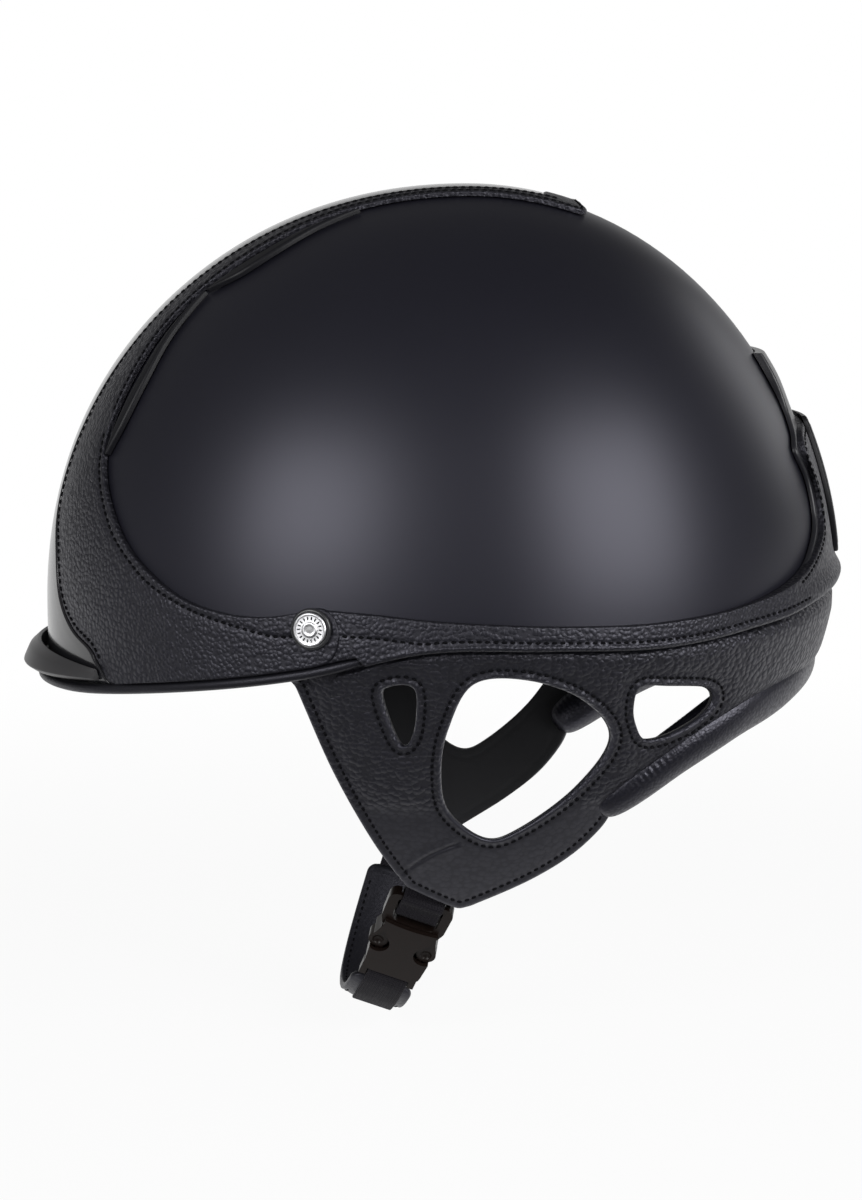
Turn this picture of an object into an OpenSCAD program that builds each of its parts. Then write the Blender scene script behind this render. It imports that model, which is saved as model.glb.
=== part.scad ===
// Jockey helmet: a moulded shell with leather trim, a padded liner, a leather harness and a
// chin strap with a side-release buckle.
// +Z is up, the wearer looks along -Y and +X is the wearer's left. The origin is the centre of
// the shell, on the mid-plane, at the height where its walls turn upright.

/* [Shell] */
// Length of the shell ahead of its centre
shell_front = 147; // [137:1:157]
// Length of the shell behind its centre
shell_rear = 128.3; // [120:0.1:138]
// Half of the shell's width
shell_half_width = 112; // [104:1:120]
// Height of the crown above the centre
shell_height = 146.8; // [138:0.1:156]
// Wall of the moulded shell
shell_wall = 4; // [3:0.5:5]
// Height of the shell's edge under the trim's edge at the front, where the piping sits
piping_height = 3.6; // [3:0.2:5]
// Depth of the piping, measured through the wall
piping_depth = 6.4; // [5.5:0.1:8]
// How much further the piping stands out under the bumper
piping_nose = 3.8; // [2:0.2:5]
// Height of the shell's edge inside the rear leather band
band_turn = 1.5; // [1:0.5:3]
// How much the rear band's lower edge thickens at the back
band_roll = 2.3; // [1:0.1:3]

/* [Leather and strip] */
// Thickness of the trim leather
leather = 1.7; // [1.2:0.1:2.4]
// Thickness of the gloss strip over the crown
strip_thickness = 2; // [1.5:0.1:3]
// Thickness of the insert at the back of the shell
insert_thickness = 1.5; // [1:0.1:2]
// How much further the insert stands out at its top
insert_lift = 1.2; // [0:0.1:2]
// Thickness of the plain plate on the yoke
plate_thickness = 1.9; // [1.4:0.1:2.6]
// Half of the plate's width
plate_half_width = 18; // [14:1:22]
// Height of the plate's lower and upper edge
plate_span = [18.5, 67];
// Thickness of the vent trims
trim_thickness = 2.6; // [2:0.1:3.5]
// Widest reach of the bumper's nose ahead of the strip
bumper_reach = 7.8; // [6:0.2:10]
// Half of the bumper's spread round the front, in degrees
bumper_spread = 25; // [18:1:30]

/* [Rivets] */
// Radius of a rivet cap
rivet_radius = 5.5; // [4.5:0.1:6.5]
// Height of a rivet cap
rivet_height = 1.6; // [1.2:0.1:2.2]
// Radius of the dark ring under a rivet cap
ring_radius = 6.8; // [6:0.1:7.6]
// Radius of a rivet's post
post_radius = 2; // [1.5:0.1:2.5]
// Radius of the washer behind the harness
washer_radius = 6; // [5:0.5:7]

/* [Liner] */
// Thickness of the foam liner
liner_wall = 21; // [18:1:24]
// Height at which the liner's crown moulding sits on its ring
liner_joint = 78; // [70:1:90]
// Thickness of the comfort pads at their crown
pad_thickness = 9; // [7:0.5:11]
// Thickness of the comfort pads at their edge
pad_edge = 4; // [3:0.5:5]
// Radius of the hook-and-loop discs
disc_radius = 6; // [5:0.5:7]

/* [Harness] */
// Thickness of the harness leather
harness_leather = 1.9; // [1.5:0.1:2.2]
// Thickness of the lining behind it
lining = 1.2; // [0.8:0.1:1.4]
// Drop of the side panels' inward lean, in mm for each mm below the rim
lean_in = 0.33; // [0.28:0.01:0.38]
// Half of the nape roll's height at the back
nape_radius = 9.8; // [8:0.2:11]
// Half of the nape roll's height at its front ends
nape_end_radius = 7.4; // [6:0.2:7.8]

/* [Chin strap] */
// Width of the webbing
webbing_width = 15; // [13:1:16]
// Thickness of the webbing
webbing = 1.4; // [1:0.1:1.6]
// Forward tilt of the hanging strap, in degrees
strap_tilt = 20; // [14:1:26]
// Width of the leather sleeve
sleeve_width = 23; // [20:1:24]
// Thickness of the leather sleeve
sleeve_thickness = 4.6; // [4:0.2:5.4]

/* [Buckle] */
// Width of the buckle
buckle_width = 23.6; // [22.6:0.2:25]
// Thickness of the buckle
buckle_thickness = 8; // [7.6:0.2:9]
// Thickness of the male half's ladder frame
ladder_thickness = 4.4; // [4:0.2:5]
// Length of the male half's ladder frame
ladder_length = 15; // [14:0.5:17]
// Length of the female half
female_length = 22; // [21:0.5:24]
// Wall of the female half
buckle_wall = 1.6; // [1.3:0.1:1.7]
// Width of a prong
prong_width = 2.2; // [1.8:0.1:2.6]
// Radius of a prong's button
button_radius = 3.2; // [2.8:0.1:3.5]

/* [Fits] */
// Gap between pieces that lie on each other
fit = 0.3; // [0.2:0.05:0.4]
// Gap that curved trim keeps from the shell
seat_gap = 0.5; // [0.4:0.05:0.8]

/* [Hidden] */

// Segments round the shell, and rows up its wall
around = 48;
rows = 9;

// Power of the shell's side profile, and how much it grows to the front and falls to the back
side_power = 2.05;
front_power_gain = 0.04;

// Height of the trim's lower edge, every 20 degrees from the front to the back
edge_step = 20;
edge_heights = [-25, -23, -17, -9.6, 0.2, 0.6, -0.4, 3, 8.5, 11.5];

// Where the front piping ends and the rear band takes over, in degrees from the front
piping_end = 67;

// Offsets from the shell's outer face
trim_low = seat_gap;
strip_high = trim_low + strip_thickness;
leather_high = trim_low + leather;
insert_high = trim_low + insert_thickness;
yoke_low = insert_high + fit;
yoke_high = yoke_low + leather;
plate_low = yoke_high + fit;
plate_high = plate_low + plate_thickness;
harness_high = -shell_wall - fit - seat_gap;
liner_high = harness_high;
liner_low = liner_high - liner_wall;
washer_high = harness_high - harness_leather - fit - lining - 2 * fit;
washer_thickness = 0.8;
rebate_high = washer_high - washer_thickness - fit;
pad_high = liner_low - 2.2;

// Edge of the gloss strip, from the front rim up and over the crown, on the +X side
strip_edge = [[64, -126, -16.8], [58, -129, -11.5], [54, -131.5, -7], [43, -136, -2],
    [33, -140, 7], [26, -141, 21], [16, -141, 39], [15.5, -130, 69], [15.5, -110, 97],
    [15.5, -80, 123], [15.5, -40, 141], [15.5, 0, 147], [14, 26, 144]];

// Middle line of the gloss strip, one point for each point of its edge
strip_middle = [[0, -147, -20.8], [0, -147, -18.6], [0, -147, -14], [0, -147, -5], [0, -147, 8],
    [0, -146, 22], [0, -142, 39], [0, -130, 69], [0, -110, 97], [0, -80, 123], [0, -40, 141],
    [0, 0, 147], [0, 27, 144]];

// Inner edge of the front leather: round the rivet, along the piping, then beside the strip
wing_end = 65.6;
wing_inner_tail = concat([[wing_end, 5], [wing_end, 1], [wing_end, -2]],
    [for (az = [63, 58, 50, 41, 33]) [az, edge_z(az) + piping_height + fit]]);
wing_inner = concat([for (p = wing_inner_tail) wall_point(p[0], p[1], 0)],
    [for (p = strip_edge) p + [0.9, 0.2, 0]]);

// Outer edge of the front leather, one point for each point of the inner edge
wing_outer = [[107.4, -48.7, 7.5], [107.2, -48.8, 10.5], [106.6, -49.6, 13.4],
    [105, -55.5, 14.2], [102.5, -63.5, 12], [98, -74.5, 10.4], [91.5, -88, 11.4], [84, -100, 15],
    [75, -110.3, 22], [66, -117.5, 30], [57, -123.4, 41], [49, -126.2, 51.5], [42.4, -125.4, 61.5],
    [38.4, -121, 71], [34.6, -114, 84], [30.6, -105.5, 100], [28.8, -93, 112], [27.8, -72, 127],
    [25.2, -40, 140], [24, 0, 145], [23.2, 24, 141]];

// Ends of the front leather behind the strip, where the two halves meet on the mid-plane
wing_tail_inner = [[14, 27.6, 144], [7, 27.6, 144.5], [0.25, 27.6, 145]];
wing_tail_outer = [[21.6, 39.5, 139], [11, 39.5, 140], [0.25, 39.5, 140.5]];

// Upper edge of the rear band as azimuth and height: along the side, then up round the yoke
band_upper = [[66, 13.6], [72, 12.6], [80, 11], [92, 9.5], [103, 8.5], [119, 8], [136, 10.4],
    [149, 15.8], [157.5, 23], [164, 32], [165.3, 46], [163, 57], [166, 63], [173, 65], [180, 66]];
band_lower_az = [66, 72, 80, 92, 103, 119, 136, 147, 154, 160, 165, 169, 172, 176, 180];

// Half-width in degrees of the insert behind the yoke, as height and degrees from the back
insert_edge = [[13, 30], [18, 27], [24, 22.5], [33, 17.5], [46, 16.5], [57, 19], [63, 16],
    [72, 14], [82, 14], [90, 13.5]];

// Slots and trims of the two vents, on the +X side
vent_slot_inner = [[[42.6, -125, 63], [38.8, -118, 77], [34.6, -109.5, 93]],
    [[30.6, -88, 116], [29.4, -74, 125], [28.4, -62, 132]]];
vent_slot_outer = [[[43.4, -124, 64], [41.2, -116, 78], [35.6, -108, 93.5]],
    [[31.6, -87, 116], [32.2, -72, 125], [29.6, -61, 132]]];
vent_trim_inner = [[[45, -125.5, 58], [43.8, -122.5, 66], [42, -115.5, 78], [37.6, -108, 92],
    [32.8, -101.5, 103]], [[33.4, -97, 108], [33.2, -86, 116], [33.4, -72, 124], [30.8, -58, 132],
    [29.2, -48, 137]]];
vent_trim_outer = [[[45.8, -125, 58.4], [46.8, -120.5, 66.5], [45.6, -112.5, 79],
    [41, -105, 93], [33.8, -100.5, 103.4]], [[34.2, -96.4, 108.4], [37.6, -83.5, 117],
    [37.6, -70, 124.5], [33.6, -56, 132], [29.8, -47.4, 137]]];

// Rivet's place as azimuth and height
rivet_at = [61.7, 7.6];

// Rear harness screw's place as azimuth and height
screw_at = [128, 9.5];

// Front and lower edge of a harness side panel in side view, as y and z
panel_front = [[-67, -4], [-62.2, -13.4], [-49.8, -44.2], [-36.2, -71.3], [-25.4, -88.2],
    [-23.2, -90.6], [-8, -98.9], [-3, -98.9], [2, -96.6], [19.7, -87.4], [33, -78.1],
    [42.4, -67.8], [46, -60]];

// Smooth openings of the side panel as y and z: for the ear, ahead of it and behind it
ear_hole = [[-12, -28], [-4, -11.5], [14, -10.5], [33, -18.5], [43.5, -33], [33, -51],
    [14, -66.5], [2, -70], [-11, -59], [-14, -44]];
front_hole = [[-34, -16], [-31.5, -12.6], [-25.5, -12], [-22.7, -15.5], [-23.2, -28],
    [-26, -34], [-29.5, -30]];
rear_hole = [[50, -22], [52, -15], [62, -15.4], [76, -17.6], [79.6, -22.5], [75, -28.6],
    [64, -33.8], [55, -34.4], [51.4, -29]];

// Line of the nape roll on the harness from its front end to the back, as azimuth and height
nape_line = [[119.5, -61], [127, -51.3], [135, -40.5], [143.5, -31.5], [151, -26.6],
    [160, -24], [170, -23.2], [180, -23]];

// Pivot of the chin strap as y and z, between the cheeks' tips
strap_pivot = [-15.8, -92];

// Top of the buckle and the way it runs, in the plane of the strap: across, then down
buckle_top = [51.3, 5];
buckle_way = [-0.5, 0.866];

// Chin webbing in the plane of the strap, from the buckle under the chin to the far cheek
chin_points = [[22.3, 48.3], [16.3, 52.6], [9, 55.4], [0, 56.5], [-9, 55.2],
    [-17.5, 51], [-25.5, 44.4], [-32.6, 35.8], [-38.4, 26.8], [-43, 18.5], [-47.3, 10.5],
    [-51, 4.5], [-53.8, 0], [-56, -3.6]];
sleeve_ends = [0.35, 9.8];

// Near webbing in the plane of the strap, above the buckle: outer, then inner layer
near_outer = [[56, -3.6], [53.8, 0]];
near_inner = [[51.6, 0.4], [53.4, -2.6]];

function mix(a, b, t) = a + (b - a) * t;
function limit(v, low, high) = max(low, min(high, v));
function ease(t) = let (u = limit(t, 0, 1)) u * u * (3 - 2 * u);

// Point at u along a smooth line through the points, where u counts points
function line_at(points, u) =
    let (last = len(points) - 1, i = min(floor(u), last - 1), f = u - i,
        a = points[max(i - 1, 0)], b = points[i], c = points[i + 1], d = points[min(i + 2, last)])
    b + 0.5 * f * (c - a + f * (2 * a - 5 * b + 4 * c - d + f * (3 * b - a - 3 * c + d)));

// Smooth closed outline through the points, with n steps from each point to the next
function closed_line(points, n) =
    let (count = len(points), ring = [for (i = [-1:count + 2]) points[(i + count) % count]])
    [for (k = [0:n * count - 1]) line_at(ring, 1 + k / n)];

// Half-length of the shell's plan at an azimuth from the front, grown by an offset
function plan_radius(az, offset) =
    let (along = (cos(az) > 0 ? shell_front : shell_rear) + offset, across = shell_half_width + offset)
    1 / sqrt(pow(cos(az) / along, 2) + pow(sin(az) / across, 2));

function profile_power(az) = side_power + front_power_gain * cos(az);

// Point of the shell's outer face, grown by an offset, at an azimuth and a height
function wall_point(az, z, offset) =
    let (r = plan_radius(az, offset), h = shell_height + offset, p = profile_power(az),
        rho = z <= 0 ? r : r * pow(max(0, 1 - pow(z / h, p)), 1 / p))
    [rho * sin(az), -rho * cos(az), z];

// A point moved out or in along its ray until it lies on the shell's face grown by an offset
function seat(point, offset) =
    let (az = atan2(point.x, -point.y), rho = norm([point.x, point.y]), p = profile_power(az),
        r = plan_radius(az, offset), h = shell_height + offset)
    point.z > 0
        ? point * pow(pow(rho / r, p) + pow(point.z / h, p), -1 / p)
        : [point.x * r / rho, point.y * r / rho, point.z];

// Outward direction of the shell's face at a point
function face_normal(point) =
    let (along = point.y < 0 ? shell_front : shell_rear,
        n = [point.x / pow(shell_half_width, 2), point.y / pow(along, 2),
            max(0, point.z) / pow(shell_height, 2)])
    n / norm(n);

// Height of the trim's lower edge and of the shell's own edge at an azimuth
function turn(az) = let (a = abs(az) % 360) a > 180 ? 360 - a : a;
function edge_z(az) = line_at(edge_heights, turn(az) / edge_step);
function shell_edge_z(az) =
    edge_z(az) + mix(piping_height + fit, band_turn, ease((turn(az) - piping_end) / 10));

// Faces that join two rings of n points, which start at the indices a and b
function band_faces(n, a, b) =
    [for (i = [0:n - 1]) let (j = (i + 1) % n) each [[a + i, b + i, b + j], [a + i, b + j, a + j]]];
function flipped(faces) = [for (f = faces) [f[2], f[1], f[0]]];
function joined(lists) = [for (l = lists) each l];
function middle(points) = [for (p = points) 1] * points / len(points);

// Area vector of a ring of points
function ring_vector(ring) =
    let (n = len(ring), parts = [for (i = [0:n - 1]) cross(ring[i], ring[(i + 1) % n])])
    [for (p = parts) 1] * parts;

// Solid through a row of rings of equal count, closed at both ends
module loft(rings) {
    n = len(rings[0]);
    m = len(rings);
    mid = floor(m / 2);
    along = middle(rings[mid]) - middle(rings[mid - 1]);
    forward = ring_vector(rings[mid]) * along > 0;
    last = (m - 1) * n;
    start_cap = [for (i = [0:n / 2 - 2])
        each [[i, i + 1, n - 2 - i], [i, n - 2 - i, n - 1 - i]]];
    end_cap = [for (f = flipped(start_cap)) f + [last, last, last]];
    sides = joined([for (k = [0:m - 2]) band_faces(n, k * n, (k + 1) * n)]);
    faces = concat(start_cap, sides, end_cap);
    polyhedron(joined(rings), forward ? faces : flipped(faces));
}

// Closed section across a cover, from a list of points, between two offsets
function cover_section(points, low, high) =
    concat([for (p = points) seat(p, high)],
        [for (i = [len(points) - 1:-1:0]) seat(points[i], low)]);

// Cover on the shell between two edges, with its points from one edge to the other
module cover(edge_a, edge_b, steps, across, low, high) {
    last = len(edge_a) - 1;
    loft([for (k = [0:steps])
        let (u = k / steps * last, a = line_at(edge_a, u), b = line_at(edge_b, u))
        cover_section([for (i = [0:across]) mix(a, b, i / across)], low, high)]);
}

// Ring round the shell: lift raises the edge, and rise runs from 0 at the edge to 1 at the crown
function wall_ring(lift, rise, offset) =
    [for (i = [0:around - 1])
        let (az = 360 * i / around, low = shell_edge_z(az) + lift)
        wall_point(az, mix(low, shell_height + offset, rise), offset)];

// Domed wall between rings of an outer and an inner face, both listed from the edge up
module domed_wall(outer, inner, outer_top, inner_top) {
    n = around;
    outer_start = 0;
    inner_start = len(outer) * n;
    top = inner_start + len(inner) * n;
    outer_last = inner_start - n;
    inner_last = top - n;
    function fan(start, tip) = [for (i = [0:n - 1]) [start + i, tip, start + (i + 1) % n]];
    outer_faces = concat(
        joined([for (k = [0:len(outer) - 2]) band_faces(n, k * n, (k + 1) * n)]),
        fan(outer_last, top));
    inner_faces = concat(
        joined([for (k = [0:len(inner) - 2])
            band_faces(n, inner_start + k * n, inner_start + (k + 1) * n)]),
        fan(inner_last, top + 1));
    edge_faces = flipped(band_faces(n, outer_start, inner_start));
    polyhedron(concat(joined(outer), joined(inner), [[0, 0, outer_top], [0, 0, inner_top]]),
        concat(outer_faces, flipped(inner_faces), edge_faces));
}

// Share of the height at row k of n rows, closer together towards the crown
function rise_at(k, n) = sin(90 * k / n);

module on_both_sides() {
    children();
    mirror([1, 0, 0]) children();
}

// Children's +Z is turned to the shell's outward direction at an azimuth and a height; they
// stand an offset outwards from the shell's face grown by a depth
module on_wall(az, z, offset, depth = 0) {
    base = wall_point(az, z, depth);
    n = face_normal(base);
    translate(base + n * offset)
        rotate([0, acos(n.z), atan2(n.y, n.x)]) children();
}

module vent_slots() {
    for (v = [0, 1])
        cover(vent_slot_inner[v], vent_slot_outer[v], 8, 1, -shell_wall - 3, 2);
}

module rivet_bores(radius) {
    on_wall(rivet_at[0], rivet_at[1], -15)
        cylinder(r = radius, h = 30, $fn = 20);
}

module outer_shell() {
    color([0.07, 0.07, 0.08]) difference() {
        domed_wall([for (k = [0:rows]) wall_ring(0, rise_at(k, rows + 1), 0)],
            [for (k = [0:rows]) wall_ring(0, rise_at(k, rows + 1), -shell_wall)],
            shell_height, shell_height - shell_wall);
        on_both_sides() {
            vent_slots();
            rivet_bores(post_radius + fit);
            on_wall(screw_at[0], screw_at[1], -shell_wall - 2)
                cylinder(r = screw_radius + 0.1, h = shell_wall + 2 + screw_tip + fit, $fn = 20);
        }
    }
}

// Height of the harness's top edge inside the shell
function harness_top(az) = mix(15, 27, ease((turn(az) - 90) / 80));

// Ring of the liner in the rebate for the harness, or on the shell's side ahead of it
function rebate_ring(heights) =
    [for (i = [0:around - 1])
        let (az = 360 * i / around)
        wall_point(az, heights[i], mix(liner_high, rebate_high, ease((turn(az) - 45) / 7)))];

// Whole liner, before it is parted into a ring and a crown
module liner_blank() {
    outer_rows = rows - 2;
    turns = [for (i = [0:around - 1]) 360 * i / around];
    low = [for (az = turns) shell_edge_z(az) + 1];
    high = [for (az = turns) harness_top(az) + 1];
    above = [for (i = [0:around - 1]) wall_point(turns[i], high[i] + 1, liner_high)];
    domed_wall(
        concat([rebate_ring(low), rebate_ring((low + high) / 2), rebate_ring(high), above],
            [for (k = [1:outer_rows]) [for (i = [0:around - 1])
                wall_point(turns[i], mix(high[i] + 1, shell_height + liner_high,
                    rise_at(k, outer_rows + 1)), liner_high)]]),
        concat([wall_ring(1, 0, rebate_high - 8)],
            [for (k = [1:outer_rows]) wall_ring(2, rise_at(k, outer_rows + 1), liner_low)]),
        shell_height + liner_high, shell_height + liner_low);
}

module impact_liner() {
    color([0.2, 0.2, 0.22]) difference() {
        liner_blank();
        translate([-200, -200, liner_joint]) cube(400);
    }
}

module crown_liner() {
    color([0.22, 0.22, 0.24]) difference() {
        liner_blank();
        translate([-200, -200, liner_joint + fit - 400]) cube(400);
    }
}

// Comfort pad on the liner between two azimuths, from its lower to its upper lift over the edge
module wall_pad(az_a, az_b, lift_low, lift_high) {
    steps = 10;
    across = 5;
    loft([for (k = [0:steps])
        let (u = 2 * k / steps - 1,
            az = mix(az_a, az_b, k / steps),
            pull = 2.5 * (1 - u * u),
            low = shell_edge_z(az) + lift_low + pull * 0.6,
            high = shell_edge_z(az) + lift_high - pull,
            heights = [for (i = [0:across]) mix(low, high, i / across)],
            fall = [for (i = [0:across]) let (v = 2 * i / across - 1)
                pad_edge + (pad_thickness - pad_edge) * sqrt(max(0, (1 - u * u) * (1 - v * v)))])
        concat([for (i = [0:across]) wall_point(az, heights[i], pad_high)],
            [for (i = [across:-1:0]) wall_point(az, heights[i], pad_high - fall[i])])]);
}

module brow_pad() {
    color([0.1, 0.1, 0.11]) wall_pad(-48, 48, 6, 50);
}

module side_pad_left() {
    color([0.1, 0.1, 0.11]) wall_pad(54, 118, 17, 52);
}

module side_pad_right() {
    mirror([1, 0, 0]) side_pad_left();
}

module rear_pad() {
    color([0.1, 0.1, 0.11]) wall_pad(124, 236, 14, 50);
}

// Crown pad: a crowned disc with six shallow petals, under the top of the liner
module crown_pad() {
    petals = 6;
    rings = 4;
    sides = 30;
    reach = 40;
    top = shell_height + pad_high;
    function pad_ring(k, drop) =
        [for (i = [0:sides - 1])
            let (a = 360 * i / sides, r = reach * k / rings * (1 + 0.09 * k / rings * cos(petals * a)))
            seat([r * sin(a), -r * cos(a), sqrt(top * top - r * r)], pad_high - drop)];
    function thickness(k) = pad_edge + (pad_thickness - pad_edge) * sqrt(1 - pow(k / rings, 2));
    upper = [for (k = [rings:-1:1]) pad_ring(k, 0)];
    lower = [for (k = [rings:-1:1]) pad_ring(k, thickness(k))];
    n = sides;
    low_start = len(upper) * n;
    tip = 2 * low_start;
    function fan(start, at) = [for (i = [0:n - 1]) [start + i, at, start + (i + 1) % n]];
    function skin(start) = concat(
        joined([for (k = [0:rings - 2]) band_faces(n, start + k * n, start + (k + 1) * n)]),
        fan(start + (rings - 1) * n, start == 0 ? tip : tip + 1));
    color([0.1, 0.1, 0.11]) polyhedron(
        concat(joined(upper), joined(lower), [[0, 0, top], [0, 0, top - thickness(0)]]),
        concat(skin(0), flipped(skin(low_start)), flipped(band_faces(n, 0, low_start))));
}

// Hook-and-loop discs between the liner and the pads
disc_height = 0.35;

module pad_discs() {
    places = [[0, 30], [30, 28], [-30, 28], [84, 36], [-84, 36], [150, 34], [-150, 34], [180, 36]];
    color([0.05, 0.05, 0.05]) {
        for (p = places)
            on_wall(p[0], p[1], 0.25, pad_high)
                cylinder(r = disc_radius, h = disc_height, $fn = 13);
        translate([0, 0, shell_height + pad_high + 0.25])
            cylinder(r = disc_radius, h = disc_height, $fn = 13);
    }
}

module centre_strip() {
    steps = 26;
    across = 6;
    last = len(strip_edge) - 1;
    color([0.12, 0.12, 0.13]) loft([for (k = [0:steps])
        let (u = k / steps * last, e = line_at(strip_edge, u), m = line_at(strip_middle, u))
        cover_section([for (i = [0:across]) let (v = 2 * i / across - 1)
            [v * e.x, mix(m.y, e.y, v * v), mix(m.z, e.z, v * v)]], trim_low, strip_high)]);
}

module front_leather_left() {
    color([0.1, 0.1, 0.11]) difference() {
        cover(concat(wing_inner, wing_tail_inner), concat(wing_outer, wing_tail_outer),
            46, 2, trim_low, leather_high);
        rivet_bores(post_radius + fit);
    }
}

module front_leather_right() {
    mirror([1, 0, 0]) front_leather_left();
}

module rear_leather_band() {
    steps = 50;
    spread = [0, 0.05, 0.1, 0.38, 0.7, 1];
    rolled = [0.85, 1, 0.15, 0, 0, 0];
    last = len(band_upper) - 1;
    color([0.1, 0.1, 0.11]) difference() {
        loft([for (k = [0:steps])
            let (u = abs(2 * k / steps - 1) * -last + last, side = k < steps / 2 ? 1 : -1,
                upper = line_at(band_upper, u), az = line_at(band_lower_az, u),
                a = [az, edge_z(az)])
            let (points = [for (t = spread) mix(a, upper, t)],
                lift = [for (p = points) (yoke_low - trim_low) * ease((p[0] - 137) / 11)],
                roll = [for (i = [0:5]) band_roll * ease((points[i][0] - 138) / 35) * rolled[i]])
            concat([for (i = [0:5])
                    wall_point(side * points[i][0], points[i][1], leather_high + lift[i] + roll[i])],
                [for (i = [5:-1:0])
                    wall_point(side * points[i][0], points[i][1], trim_low + lift[i])])]);
        piping_body(fit);
    }
}

module rear_insert() {
    steps = 14;
    across = 8;
    last = len(insert_edge) - 1;
    color([0.05, 0.05, 0.06]) loft([for (k = [0:steps])
        let (e = line_at(insert_edge, k / steps * last),
            high = insert_high + insert_lift * ease((e[0] - plate_span[1] - 1) / 16))
        concat([for (i = [0:across]) wall_point(180 + mix(-e[1], e[1], i / across), e[0], high)],
            [for (i = [across:-1:0])
                wall_point(180 + mix(-e[1], e[1], i / across), e[0], trim_low)])]);
}

module rear_plate() {
    steps = 10;
    across = 4;
    color([0.06, 0.06, 0.07]) loft([for (k = [0:steps])
        let (t = k / steps, z = mix(plate_span[0], plate_span[1], t),
            w = plate_half_width * (0.8 + 0.2 * sin(180 * min(1, t * 1.15))),
            points = [for (i = [0:across]) [mix(-w, w, i / across), 100, z]])
        concat([for (p = points) plate_point(p, plate_high)],
            [for (i = [across:-1:0]) plate_point(points[i], plate_low)])]);
}

// Point of the shell's back face at a side offset and a height
function plate_point(p, offset) =
    let (r = wall_point(180, p.z, offset).y, side = p.x / r * (180 / PI))
    wall_point(180 - side, p.z, offset);

// Piping along the front of the shell, grown all round by an amount
module piping_body(grow) {
    steps = 36;
    sides = 8;
    inner = leather_high - piping_depth;
    end = piping_end + grow * 0.5;
    loft([for (k = [0:steps])
        let (az = mix(-end, end, k / steps), z = edge_z(az) + piping_height / 2,
            nose = piping_nose * ease((34 - abs(az)) / 14),
            size = 1 - pow(abs(2 * k / steps - 1), 30) * 0.2,
            deep = (piping_depth + nose) / 2)
        [for (i = [0:sides - 1])
            let (a = 360 * (i + 0.5) / sides,
                across = limit(cos(a) * 1.2, -1, 1) * (deep + grow) * size,
                up = limit(sin(a) * 1.2, -1, 1) * (piping_height / 2 + grow) * size)
            wall_point(az, z + up, inner + deep + across)]]);
}

module rim_piping() {
    color([0.05, 0.05, 0.05]) piping_body(0);
}

// Bumper: a crescent on the front of the strip, whose lip stands off so that air passes behind it
module front_bumper() {
    steps = 24;
    base = strip_high + fit;
    color([0.13, 0.13, 0.14]) loft([for (k = [0:steps])
        let (t = 2 * k / steps - 1, az = t * bumper_spread,
            swell = pow(max(0, 1 - t * t), 0.8), k_out = 0.14 + 0.86 * swell,
            top = mix(-13.4, -11.2, 1 - t * t),
            foot = mix(top - 3.4, edge_z(az) + piping_height + fit, pow(swell, 0.35)),
            high = top - foot, reach = bumper_reach * k_out,
            lip = base + mix(1, 2.6, k_out))
        [wall_point(az, foot, base), wall_point(az, top - high * 0.62, base),
            wall_point(az, top - high * 0.56, lip - 1), wall_point(az, top, lip - 0.6),
            wall_point(az, top + 0.5, lip + 0.4),
            wall_point(az, top - high * 0.24, base + reach * 0.72 + 0.6),
            wall_point(az, top - high * 0.78, base + reach + 0.8),
            wall_point(az, foot, base + reach * 0.6 + 0.6)]]);
}

module vent_trims_left() {
    color([0.08, 0.08, 0.09]) for (v = [0, 1])
        cover(vent_trim_inner[v], vent_trim_outer[v], 12, 1, trim_low, trim_low + trim_thickness);
}

module vent_trims_right() {
    mirror([1, 0, 0]) vent_trims_left();
}

module rivet_caps() {
    color([0.75, 0.75, 0.77]) on_both_sides() on_wall(rivet_at[0], rivet_at[1], ring_top + fit / 2)
        rotate_extrude($fn = 20) polygon([[0, 0], [rivet_radius, 0], [rivet_radius, 0.5],
            [rivet_radius * 0.9, rivet_height * 0.85], [rivet_radius * 0.62, rivet_height],
            [rivet_radius * 0.55, rivet_height * 0.7], [rivet_radius * 0.25, rivet_height * 0.8],
            [0, rivet_height * 0.9]]);
}

ring_top = leather_high + 1.5;

module rivet_rings() {
    color([0.05, 0.05, 0.05]) on_both_sides() on_wall(rivet_at[0], rivet_at[1], leather_high + 0.6)
        difference() {
            cylinder(r = ring_radius, h = ring_top - leather_high - 0.6, $fn = 20);
            translate([0, 0, -1]) cylinder(r = post_radius + fit, h = 4, $fn = 20);
        }
}

// Posts run from under the caps through the leather, the shell and the harness
module rivet_posts() {
    tip = washer_high - washer_thickness;
    color([0.6, 0.6, 0.62]) on_both_sides() on_wall(rivet_at[0], rivet_at[1], tip)
        cylinder(r = post_radius, h = ring_top - tip, $fn = 20);
}

module rivet_washers() {
    color([0.6, 0.6, 0.62]) on_both_sides()
        on_wall(rivet_at[0], rivet_at[1], washer_high - washer_thickness)
            difference() {
                cylinder(r = washer_radius, h = washer_thickness, $fn = 20);
                translate([0, 0, -1]) cylinder(r = post_radius + 0.05, h = 4, $fn = 20);
            }
}

// Screws that hold the back of the harness to the shell, driven from inside
screw_radius = 1.4;
screw_tip = -1.9;

module harness_screws() {
    head_low = washer_high - washer_thickness;
    color([0.6, 0.6, 0.62]) on_both_sides() on_wall(screw_at[0], screw_at[1], head_low) {
        cylinder(r = 3.4, h = washer_thickness, $fn = 24);
        cylinder(r = screw_radius, h = screw_tip - head_low, $fn = 20);
    }
}

// Half-width and back reach of the harness at a height below the rim
function skirt_half_width(z) =
    let (drop = max(0, -z)) shell_half_width - shell_wall - lean_in * drop - 0.002 * drop * drop;
function skirt_rear(z) =
    let (drop = max(0, -z)) shell_rear + 2.2 - 0.17 * drop - 0.0045 * drop * drop;
function skirt_front(z) = shell_front - 7;

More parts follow.
